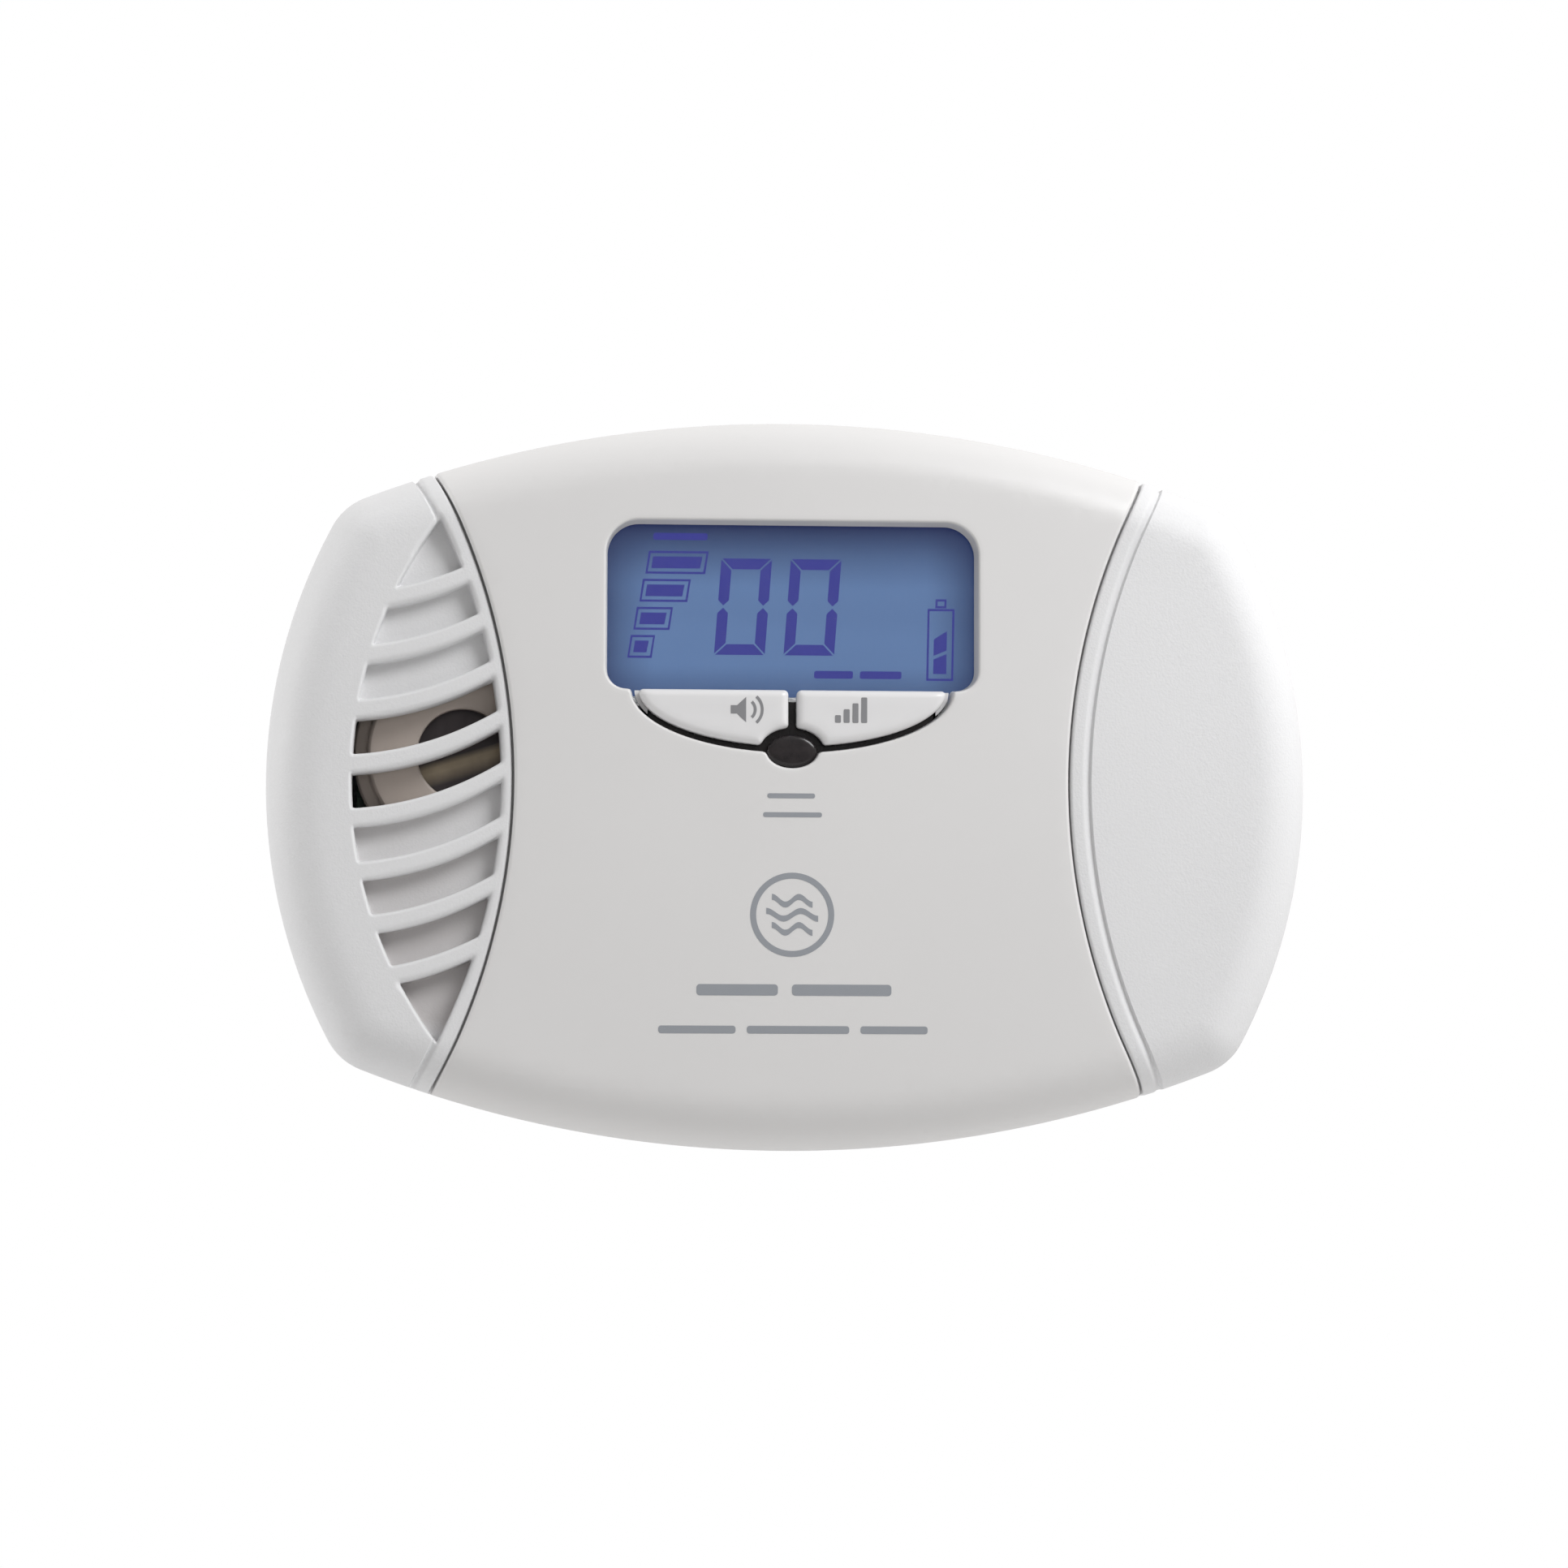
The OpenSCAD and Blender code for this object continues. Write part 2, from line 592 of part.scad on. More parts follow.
front_cover();
centre_panel();
back_cover();
wall_bracket();
battery_door();
door_hinge_pin();
test_button();
peak_button();
display_lens();
lcd_frame();
lcd_glass();
backlight_panel();
lcd_connector();
indicator_lens();
status_leds();
tact_switches();
main_board();
co_sensor();
sensor_filter();
horn_housing();
piezo_disc();
horn_gasket();
microcontroller();
small_chips();
capacitors();
battery_cells();
spring_contacts();
flat_contacts();
battery_ribbon();
battery_wires();
horn_wires();
case_screws();
board_screws();
blank_label();
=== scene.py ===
import math

import bmesh
import bpy
import numpy as np
from mathutils import Matrix, Vector
from mathutils.geometry import delaunay_2d_cdt


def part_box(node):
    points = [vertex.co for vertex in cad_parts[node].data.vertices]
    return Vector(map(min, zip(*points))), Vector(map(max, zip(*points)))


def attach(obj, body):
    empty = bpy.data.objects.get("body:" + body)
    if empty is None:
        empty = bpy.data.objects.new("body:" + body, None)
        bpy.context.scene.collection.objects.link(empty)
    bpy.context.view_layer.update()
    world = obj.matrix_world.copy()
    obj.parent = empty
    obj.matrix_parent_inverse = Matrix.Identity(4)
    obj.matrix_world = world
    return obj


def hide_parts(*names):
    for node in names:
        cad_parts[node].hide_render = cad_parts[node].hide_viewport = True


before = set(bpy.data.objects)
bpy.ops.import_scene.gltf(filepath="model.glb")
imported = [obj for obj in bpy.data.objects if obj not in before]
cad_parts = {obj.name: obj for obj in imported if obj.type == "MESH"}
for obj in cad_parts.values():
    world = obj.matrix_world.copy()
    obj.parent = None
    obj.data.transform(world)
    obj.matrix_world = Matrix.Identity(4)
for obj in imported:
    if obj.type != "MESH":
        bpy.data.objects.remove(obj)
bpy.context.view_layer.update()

mm = 0.001
weldGap = 0.0015  # points nearer than this are one


def unit(value):
    # held between nought and one
    return min(1.0, max(0.0, value))


# Everything below is drawn in millimetres: x to the right, z up, depth counted out from the wall.
case = {
    "width": 150.0,
    "height": 105.1,
    "sideRadius": 79.0,
    "topRadius": 169.0,
    "cornerRadius": 9.0,
    "seamDepth": 18.0,
    "rimDepth": 27.0,
    "rollWidth": 8.0,
    "rollDepth": 9.0,
    "crown": 1.0,
    "waistCentre": 131.8,
    "panelHalf": 39.6,
    "seatHalf": 39.95,
    "panelRise": 0.6,
    "latchX": 30.0,
    "latchHalf": 4.0,
    "latchDepth": 19.4,
    "outlineStep": 220.0 / 150,
}
sideCentre = case["sideRadius"] - case["width"] / 2
topCentre = case["topRadius"] - case["height"] / 2


def cornerCentre():
    ra = case["sideRadius"] - case["cornerRadius"]
    rb = case["topRadius"] - case["cornerRadius"]
    d = math.hypot(sideCentre, topCentre)
    a = (ra * ra - rb * rb + d * d) / (2 * d)
    h = math.sqrt(ra * ra - a * a)
    x = -sideCentre + a * sideCentre / d + h * topCentre / d
    return x, -a * topCentre / d + h * sideCentre / d


cornerX, cornerZ = cornerCentre()
sideEnd = math.atan2(cornerZ, cornerX + sideCentre)
topStart = math.atan2(cornerZ + topCentre, cornerX)


def caseInset(x, z):
    # how far a point lies inside the outline, and the outward direction there
    ax, az = abs(x), abs(z)
    sideAngle = math.atan2(az, ax + sideCentre)
    topAngle = math.atan2(az + topCentre, ax)
    fromSide = case["sideRadius"] - math.hypot(ax + sideCentre, az)
    fromTop = case["topRadius"] - math.hypot(ax, az + topCentre)
    if sideAngle > sideEnd and topAngle < topStart and (ax > cornerX or az > cornerZ):
        cx, cz, r = cornerX, cornerZ, case["cornerRadius"]
    elif fromSide < fromTop:
        cx, cz, r = -sideCentre, 0.0, case["sideRadius"]
    else:
        cx, cz, r = 0.0, -topCentre, case["topRadius"]
    dist = math.hypot(ax - cx, az - cz) or 1e-9
    ux, uz = (ax - cx) / dist, (az - cz) / dist
    return r - dist, math.copysign(ux, x), math.copysign(uz, z)


def casePoint(x, z, rise=0.0):
    # point on the smooth face of the case, and its normal, as (x, depth, z)
    t, ux, uz = caseInset(x, z)
    roll, deep = case["rollWidth"], case["rollDepth"] + rise
    halfW, halfH = case["width"] / 2, case["height"] / 2
    bulge = max(0.0, 1 - (x / halfW) ** 2) * max(0.0, 1 - (z / halfH) ** 2)
    if t < roll:
        c = unit(1 - t / roll)
        s = math.sqrt(max(0.0, 1 - c * c))
        n = Vector((ux * c / roll, s / deep, uz * c / roll)).normalized()
        depth = case["rimDepth"] + deep * s
    else:
        n = Vector((0, 1, 0))
        depth = case["rimDepth"] + deep
    lean = case["crown"] * 2
    n += Vector((lean * x / halfW ** 2, 0, lean * z / halfH ** 2)) * unit(t / roll)
    return Vector((x, depth + case["crown"] * bulge, z)), n.normalized()


# places along the edge where the latch notches start and stop
nudges = (-0.08, 0.0)
latchMarks = [case["latchX"] + side * (case["latchHalf"] - n) for side in (-1, 1) for n in nudges]


def outlineLoop(inset):
    # even points round the outline, drawn in by an inset smaller than the corner radius
    quarter = []
    arcs = (
        (-sideCentre, 0.0, case["sideRadius"], 0.0, sideEnd),
        (cornerX, cornerZ, case["cornerRadius"], sideEnd, topStart),
        (0.0, -topCentre, case["topRadius"], topStart, math.pi / 2),
    )
    for cx, cz, r, a0, a1 in arcs:
        extra = 6 if r == case["cornerRadius"] else 0
        steps = max(4, int(r * (a1 - a0) / case["outlineStep"]) + extra)
        turns = [a0 + (a1 - a0) * i / steps for i in range(steps)]
        if cx == 0.0:
            turns = sorted(turns + [math.acos(m / case["topRadius"]) for m in latchMarks])
        for a in turns:
            quarter.append((cx + (r - inset) * math.cos(a), cz + (r - inset) * math.sin(a)))
    top = (0.0, case["height"] / 2 - inset)
    right = quarter + [top] + [(-x, z) for x, z in reversed(quarter)]
    return right + [(-x, -z) for x, z in right[1:-1]]


def rollLines():
    # the outline, then the same drawn in step by step over the rolled edge
    turns = [math.radians(a) for a in (0, 8, 16, 25, 35, 45, 55, 65, 75, 85)]
    return [(outlineLoop(case["rollWidth"] * (1 - math.cos(a))), True) for a in turns]


def waistArc(side, r):
    # a waist line of that radius on one side, from bottom to top
    rows = [z * 0.9 for z in range(-61, 62)]
    return [(side * (case["waistCentre"] - math.sqrt(r * r - z * z)), z) for z in rows]


def insetPoint(co, inset):
    # the same place moved to that inset from the outline, and the outward direction
    t, ux, uz = caseInset(co.x, co.z)
    return co.x - ux * (inset - t), co.z - uz * (inset - t), ux, uz


# signed distances of the openings are negative inside
def roundJoin(a, b, r):
    # both a and b, with their shared corner rounded to r
    return min(-r, max(a, b)) + math.hypot(max(a + r, 0.0), max(b + r, 0.0))


def softUnion(a, b, r):
    return -roundJoin(-a, -b, r)


def ellipseDistance(x, z, a, b):
    k0 = math.hypot(x / a, z / b)
    k1 = math.hypot(x / a ** 2, z / b ** 2)
    return k0 * (k0 - 1) / k1 if k1 > 1e-9 else -min(a, b)


window = {
    "half": 26.7,
    "low": 13.1,
    "high": 37.4,
    "topCorner": 4.8,
    "lowCorner": 3.0,
    "ovalHalf": 23.1,
    "ovalDrop": 9.0,
    "lampZ": 4.4,
    "lampX": 3.75,
    "lampHalfZ": 2.5,
    "wallEnd": 33.55,
    "centre": (0.0, 22.0),
}


def windowDistance(x, z):
    w = window
    r = w["topCorner"] if z > (w["low"] + w["high"]) / 2 else w["lowCorner"]
    dx = abs(x) - w["half"]
    dz = max(w["low"] - z, z - w["high"])
    pane = roundJoin(dx, dz, r)
    oval = ellipseDistance(x, z - w["low"], w["ovalHalf"], w["ovalDrop"])
    lamp = ellipseDistance(x, z - w["lampZ"], w["lampX"], w["lampHalfZ"])
    return softUnion(softUnion(pane, oval, 0.35), lamp, 0.45)


grille = {
    "radius": 62.8,
    "backCentre": -123.9,
    "backRadius": 82.6,
    "slatCentre": -65.2,
    "slatRadius": 45.0,
    "slatBase": 3.4,
    "pitch": 7.7,
    "slatThick": 2.5,
    "slats": 8,
    "open": (3, 4),
    "corner": 0.35,
    "softUnder": 0.9,
    "floorDrop": 3.1,
    "floorStep": 0.35,
    "floorThick": 0.6,
    "landDepth": 31.6,
}


def slotDistance(k, x, z):
    g = grille
    front = math.hypot(x, z) - g["radius"]
    d = roundJoin(front, math.hypot(x - g["backCentre"], z) - g["backRadius"], g["corner"])
    if k < g["slats"]:
        top = g["slatBase"] + g["pitch"] * (3 - k)
        below = math.hypot(x - g["slatCentre"], z - top - g["slatRadius"]) - g["slatRadius"]
        d = roundJoin(d, below, g["corner"])
    if k > 0:
        under = g["slatBase"] + g["pitch"] * (4 - k) - g["slatThick"]
        above = g["slatRadius"] - math.hypot(x - g["slatCentre"], z - under - g["slatRadius"])
        d = roundJoin(d, above, g["corner"])
    return d


ray = {"rays": 900, "stride": 0.25, "reach": 60.0, "halvings": 22}


def starAngles(distance, centre, count):
    # directions from the centre that give evenly spaced points along the edge
    n = ray["rays"]
    fine = [starPoint(distance, centre, 2 * math.pi * i / n, 0.0) for i in range(n)]
    lengths = [0.0]
    for i in range(n):
        a, b = fine[i], fine[(i + 1) % n]
        lengths.append(lengths[-1] + math.hypot(b[0] - a[0], b[1] - a[1]))
    marks = np.interp(np.arange(count) * lengths[-1] / count, lengths, np.arange(n + 1) * 2 * math.pi / n)
    return [float(m) for m in marks]


def starPoint(distance, centre, angle, level):
    # walks out from the centre until the distance passes the level, then halves in on it
    ca, sa = math.cos(angle), math.sin(angle)
    low, high = 0.0, ray["stride"]
    while high < ray["reach"] and distance(centre[0] + high * ca, centre[1] + high * sa) < level:
        low = high
        high += ray["stride"]
    for _ in range(ray["halvings"]):
        mid = (low + high) / 2
        if distance(centre[0] + mid * ca, centre[1] + mid * sa) < level:
            low = mid
        else:
            high = mid
    return centre[0] + low * ca, centre[1] + low * sa


def starLoop(distance, centre, angles, level):
    return [starPoint(distance, centre, a, level) for a in angles]


class Skin:
    # an outer surface that remembers the inner point under each of its own, and closes into a solid

    def __init__(self):
        self.bm = bmesh.new()
        self.under = self.bm.verts.layers.float_vector.new("under")

    def vert(self, outer, inner):
        v = self.bm.verts.new(outer)
        v[self.under] = inner
        return v

    def face(self, verts):
        if len(set(verts)) == len(verts):
            try:
                self.bm.faces.new(verts)
            except ValueError:
                pass

    def strip(self, rowA, rowB):
        n = len(rowA)
        for i in range(n):
            j = (i + 1) % n
            self.face([rowA[i], rowA[j], rowB[j], rowB[i]])

    def sheet(self, points, lines, keep, place):
        # triangles over the kept part of a plan, with the given lines as edges
        coords = [Vector(p) for p in points]
        edges = []
        for line, closed in lines:
            first = len(coords)
            coords += [Vector(p) for p in line]
            n = len(line)
            edges += [(first + i, first + (i + 1) % n) for i in range(n if closed else n - 1)]
        flat, _, tris, *_ = delaunay_2d_cdt(coords, edges, [], 0, 1e-5)
        made = {}
        for tri in tris:
            cx = sum(flat[i].x for i in tri) / len(tri)
            cz = sum(flat[i].y for i in tri) / len(tri)
            if not keep(cx, cz):
                continue
            for i in tri:
                if i not in made:
                    made[i] = self.vert(*place(flat[i].x, flat[i].y))
            self.face([made[i] for i in tri])

    def weld(self):
        bmesh.ops.remove_doubles(self.bm, verts=self.bm.verts, dist=weldGap)
        bmesh.ops.dissolve_degenerate(self.bm, edges=self.bm.edges, dist=1e-5)

    def edgeLoops(self, pick):
        # border edges whose both ends pass the test
        return [e for e in self.bm.edges if len(e.link_faces) == 1 and all(pick(v.co) for v in e.verts)]

    def pull(self, pick, place):
        # one more row of faces hung from the picked border
        made = {}
        for e in self.edgeLoops(pick):
            for v in e.verts:
                if v not in made:
                    made[v] = self.vert(*place(v.co))
            a, b = e.verts
            self.face([a, b, made[b], made[a]])

    def close(self):
        self.weld()
        bm, under = self.bm, self.under
        twin = {}
        outerFaces = list(bm.faces)
        border = [e for e in bm.edges if len(e.link_faces) == 1]
        for v in list(bm.verts):
            twin[v] = self.vert(v[under], v[under])
        for f in outerFaces:
            self.face([twin[v] for v in reversed(f.verts)])
        for e in border:
            a, b = e.verts
            self.face([a, b, twin[b], twin[a]])
        bmesh.ops.recalc_face_normals(bm, faces=bm.faces)
        return bm


def link(obj):
    bpy.context.scene.collection.objects.link(obj)


def toObject(bm, name, sharp):
    # sets the skin down in metres with the depth turned towards -Y, and keeps crisp edges crisp
    for v in bm.verts:
        x, d, z = v.co
        v.co = Vector((x * mm, -d * mm, z * mm))
    bmesh.ops.recalc_face_normals(bm, faces=bm.faces)
    limit = math.radians(sharp)
    for e in bm.edges:
        e.smooth = len(e.link_faces) != 2 or e.calc_face_angle(0.0) < limit
    for f in bm.faces:
        f.smooth = True
    mesh = bpy.data.meshes.new(name)
    bm.to_mesh(mesh)
    bm.free()
    obj = bpy.data.objects.new(name, mesh)
    link(obj)
    return obj


def settle(obj, body, material, slot, *nodes):
    obj.data.materials.clear()
    obj.data.materials.append(material)
    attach(obj, body)
    if nodes:
        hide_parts(*nodes)


rowRatio = 0.866  # height of a row of even triangles


def hexGrid(x0, x1, z0, z1, step):
    rows = int((z1 - z0) / (step * rowRatio)) + 1
    cols = int((x1 - x0) / step) + 1
    spots = [(i + 0.5 * (j % 2), j * rowRatio) for j in range(rows) for i in range(cols)]
    return [(x0 + a * step, z0 + b * step) for a, b in spots]


def arcFillet(d, r):
    # drop below the surface at a distance d in from an edge rounded to r
    return r - math.sqrt(max(0.0, r * r - (r - d) ** 2)) if d < r else 0.0


def insideLoops(loops, x, z):
    # even-odd test, so a loop inside another makes a hole
    odd = False
    for loop in loops:
        for (x0, z0), (x1, z1) in zip(loop, loop[1:] + loop[:1]):
            if (z0 > z) != (z1 > z) and x < x0 + (x1 - x0) * (z - z0) / (z1 - z0):
                odd = not odd
    return odd


def joinRings(bm, rows, around=False):
    # walls between rings of points, the last joined to the first where they go all the way around
    n = len(rows[0])
    for low, high in zip(rows, rows[1:] + (rows[:1] if around else [])):
        for i in range(n):
            j = (i + 1) % n
            bm.faces.new((low[i], low[j], high[j], high[i]))


def lathe(bm, profile, along, steps=48, ring=False):
    # turns a profile of (radius, distance) about an axis; along() places a point of the turned shape
    rows = []
    for r, t in profile:
        turns = [2 * math.pi * i / steps for i in range(steps)]
        rows.append([bm.verts.new(along(r * math.cos(a), r * math.sin(a), t)) for a in turns])
    joinRings(bm, rows, ring)
    if not ring:
        bm.faces.new(rows[0][::-1])
        bm.faces.new(rows[-1])


class Value:
    # a socket that Python's operators can do arithmetic on

    def __init__(self, maker, socket):
        self.maker = maker
        self.socket = socket

    def sum(self, kind, a, b):
        return self.maker.node("Math", {"operation": kind}, {0: a, 1: b})

    def __add__(self, other):
        return self.sum("ADD", self, other)

    def __radd__(self, other):
        return self.sum("ADD", other, self)

    def __sub__(self, other):
        return self.sum("SUBTRACT", self, other)

    def __rsub__(self, other):
        return self.sum("SUBTRACT", other, self)

    def __mul__(self, other):
        return self.sum("MULTIPLY", self, other)

    def __rmul__(self, other):
        return self.sum("MULTIPLY", other, self)

    def __truediv__(self, other):
        return self.sum("DIVIDE", self, other)

    def __rtruediv__(self, other):
        return self.sum("DIVIDE", other, self)

    def __pow__(self, other):
        return self.sum("POWER", self, other)

    def __rpow__(self, other):
        return self.sum("POWER", other, self)


def tinted(colour, factor, extra=0.0):
    return [min(1.0, c * factor + extra) for c in colour]


class Finish:
    # one material: its nodes are made by node(), its shader by surface()

    def __init__(self, name, world=None):
        self.material = world or bpy.data.materials.new(name)
        self.material.use_nodes = True
        self.tree = self.material.node_tree
        self.tree.nodes.clear()
        self.out = self.tree.nodes.new("ShaderNodeOutput" + ("World" if world else "Material"))
        self.place = self.node("TexCoord", {}, {}, "Generated" if world else "Object")

    def node(self, kind, settings, sockets, output=0):
        made = self.tree.nodes.new("ShaderNode" + kind)
        for key, value in settings.items():
            setattr(made, key, value)
        for key, value in sockets.items():
            socket = made.inputs[key]
            if isinstance(value, Value):
                self.tree.links.new(value.socket, socket)
            elif socket.type == "RGBA" and not isinstance(value, (int, float)):
                socket.default_value = (*value[:3], 1.0)
            else:
                socket.default_value = value
        return Value(self, made.outputs[output])

    def axis(self, index):
        return self.node("SeparateXYZ", {}, {0: self.place}, index)

    def noise(self, scale, detail=3.0, rough=0.5, where=None):
        sockets = {"Vector": where or self.place, "Scale": scale, "Detail": detail, "Roughness": rough}
        return self.node("TexNoise", {}, sockets, 0)

    def cells(self, scale):
        return self.node("TexVoronoi", {}, {"Vector": self.place, "Scale": scale}, "Distance")

    def spread(self, value, low, high, start, end):
        sockets = {"Value": value, "From Min": low, "From Max": high, "To Min": start, "To Max": end}
        return self.node("MapRange", {}, sockets)

    def vary(self, noise, start, end):
        # the middle of a noise spread over a range
        return self.spread(noise, 0.3, 0.7, start, end)

    def stretched(self, scale):
        return self.node("Mapping", {}, {"Vector": self.place, "Scale": scale})

    def blend(self, mask, a, b):
        return self.node("Mix", {"data_type": "RGBA"}, {0: mask, 6: a, 7: b}, 2)

    def bump(self, height, distance, strength=1.0, normal=None):
        sockets = {"Height": height, "Distance": distance, "Strength": strength}
        if normal:
            sockets["Normal"] = normal
        return self.node("Bump", {}, sockets)

    def rounded(self, radius):
        # shading that softens hard edges, where a radius is given
        return self.node("Bevel", {"samples": 4}, {"Radius": radius}) if radius else None

    def surface(self, **sockets):
        named = {key.replace("_", " "): value for key, value in sockets.items()}
        shader = self.node("BsdfPrincipled", {}, named)
        self.tree.links.new(shader.socket, self.out.inputs["Surface"])
        return self.material


def paintedShadeMask(f, m):
    # painted shade: one inside the closed slots of the grille, more so in the lower ones
    x, y, z = [f.axis(index) / mm for index in range(3)]
    deep = f.spread(y, m["start"], m["full"], 0.0, 1.0)
    deep = deep * f.spread(x, m["left"], m["left"] + m["sideFade"], 0.0, 1.0)
    deep = deep * f.spread(x, m["right"], m["right"] - m["sideFade"], 0.0, 1.0)
    deep = deep * f.spread(z, m["low"], m["low"] + m["lowFade"], 0.0, 1.0)
    return deep * f.spread(z, m["fadeHigh"], m["fadeLow"], m["top"], 1.0)


def sparkPlastic(name, colour, grain=1.0, paintedShade=None):
    # moulded white plastic with a fine spark-eroded skin, with painted shade on the floors of the grille's
    # closed slots where they are given
    f = Finish(name)
    fine = f.noise(2300.0, 2.0, 0.6)
    pits = f.cells(3100.0)
    tone = f.vary(f.noise(22.0, 2.0), 0.0, 1.0)
    shade = f.blend(tone, tinted(colour, 0.975), tinted(colour, 1.015))
    # the low points of the fine grain are a little darker: faint painted shade in its pits
    shade = f.blend(f.spread(fine, 0.35, 0.65, 0.10, 0.0), shade, tinted(colour, 0.80))
    # painted shade: the closed slots' floors are darkened, more so towards the bottom of the grille; not a
    # colour of the plastic
    if paintedShade:
        shade = f.blend(paintedShadeMask(f, paintedShade), shade, [c * k for c, k in zip(colour, paintedShade["tint"])])
    rough = f.vary(f.noise(70.0, 4.0, 0.65), 0.50, 0.62)
    relief = f.bump(fine + pits * 0.5, 0.00006 * grain, 0.55)
    return f.surface(Base_Color=shade, Roughness=rough, Normal=relief, IOR=1.46)


def satinPlastic(name, colour, low=0.36, high=0.46, relief=0.00001, softEdge=0.0):
    # smooth moulded plastic with the faint flow and handling marks of a clean casing
    f = Finish(name)
    tone = f.vary(f.noise(16.0, 2.0), 0.0, 1.0)
    grain = f.noise(1500.0, 2.0)
    shade = f.blend(tone, tinted(colour, 0.98), tinted(colour, 1.012))
    rough = f.vary(f.noise(120.0, 4.0, 0.6), low, high)
    ripple = f.bump(grain, relief, 0.5, f.rounded(softEdge))
    return f.surface(Base_Color=shade, Roughness=rough, Normal=ripple, IOR=1.46)


def plainMetal(name, colour, rough, stretch=(1, 1, 1)):
    # drawn or plated metal with fine lines along one direction and dull patches
    f = Finish(name)
    along = f.stretched(stretch)
    lines = f.noise(900.0, 3.0, 0.6, along)
    dull = f.spread(f.noise(260.0, 4.0, 0.6), 0.45, 0.7, 0.0, 1.0)
    shade = f.blend(dull * 0.6, colour, tinted(colour, 0.62))
    polish = f.vary(lines, rough - 0.08, rough + 0.08) + dull * 0.12
    groove = f.bump(lines, 0.00002, 0.4, f.rounded(0.00012))
    return f.surface(Base_Color=shade, Roughness=polish, Metallic=1.0, Normal=groove)


def rubber(name, colour, grain=900.0):
    f = Finish(name)
    dust = f.spread(f.noise(grain, 4.0, 0.7), 0.5, 0.75, 0.0, 1.0)
    shade = f.blend(dust * 0.4, colour, tinted(colour, 2.2, 0.01))
    rough = f.vary(f.noise(140.0, 3.0), 0.62, 0.78)
    return f.surface(Base_Color=shade, Roughness=rough, Normal=f.bump(f.noise(grain), 0.00003, 0.5))


def wireJacket(name, colour):
    # extruded vinyl with faint length lines
    f = Finish(name)
    scuff = f.spread(f.noise(420.0, 4.0, 0.6), 0.5, 0.72, 0.0, 1.0)
    shade = f.blend(scuff * 0.35, colour, tinted(colour, 1.5, 0.03))
    rough = f.vary(f.noise(90.0, 3.0), 0.30, 0.44)
    return f.surface(Base_Color=shade, Roughness=rough, Normal=f.bump(scuff, 0.00001, 0.4))


def blackEpoxy(name):
    # moulded black packages: matt, speckled, with a lighter worn skin
    f = Finish(name)
    speck = f.spread(f.cells(4200.0), 0.0, 0.5, 1.0, 0.0)
    shade = f.blend(speck * 0.5, (0.018, 0.018, 0.02), (0.05, 0.05, 0.052))
    rough = f.vary(f.noise(300.0, 4.0), 0.42, 0.6)
    dimple = f.bump(f.noise(3800.0, 2.0), 0.00002, 0.5, f.rounded(0.0001))
    return f.surface(Base_Color=shade, Roughness=rough, Normal=dimple)


def boardMask(name):
    # green lacquer over copper runs, with bare fibre showing at pin holes
    f = Finish(name)
    runs = f.node("TexBrick", {"offset": 0.5, "squash": 1.0}, {
        "Vector": f.node("Mapping", {}, {"Vector": f.place, "Rotation": (math.pi / 2, 0, 0)}),
        "Color1": (0, 0, 0), "Color2": (0.3, 0.3, 0.3), "Mortar": (1, 1, 1), "Scale": 220.0,
        "Mortar Size": 0.035, "Brick Width": 1.7, "Row Height": 0.42})
    path = f.spread(f.noise(150.0, 1.0), 0.46, 0.5, 0.0, 1.0)
    pads = f.spread(f.cells(330.0), 0.12, 0.15, 1.0, 0.0)
    lacquer = f.blend(f.noise(40.0), (0.010, 0.085, 0.032), (0.014, 0.115, 0.045))
    shade = f.blend(f.spread(runs, 0.2, 0.8, 0.0, 1.0) * path * 0.6, lacquer, (0.05, 0.22, 0.09))
    shade = f.blend(pads * path, shade, (0.62, 0.58, 0.5))
    rough = f.vary(f.noise(260.0), 0.24, 0.36)
    return f.surface(Base_Color=shade, Roughness=rough, Normal=f.bump(runs * path, 0.00002, 0.5))


def hornBrass(name):
    # brass with a round brushed grain, coloured dark as painted shade inside the horn's hole, with a painted
    # reflection band across it
    f = Finish(name)
    ring = f.noise(800.0, 3.0, 0.6, f.stretched((1, 1, 0.12)))
    sheenPatches = f.spread(f.noise(170.0, 4.0, 0.6), 0.35, 0.7, 0.75, 1.0)
    across = f.axis(2) / mm - (f.axis(0) / mm + horn["x"]) * horn["sheenTilt"]
    start, full, fade, end = horn["sheen"]
    # painted reflection: a slanted light band across the dark disc, broken up in patches
    band = f.spread(across, start, full, 0.0, 1.0) * f.spread(across, fade, end, 1.0, 0.0)
    shade = f.blend(band * sheenPatches, (0.10, 0.088, 0.092), (0.52, 0.43, 0.31))
    return f.surface(Base_Color=shade, Roughness=f.vary(ring, 0.34, 0.5), Metallic=0.85,
                     Normal=f.bump(ring, 0.00001, 0.4))


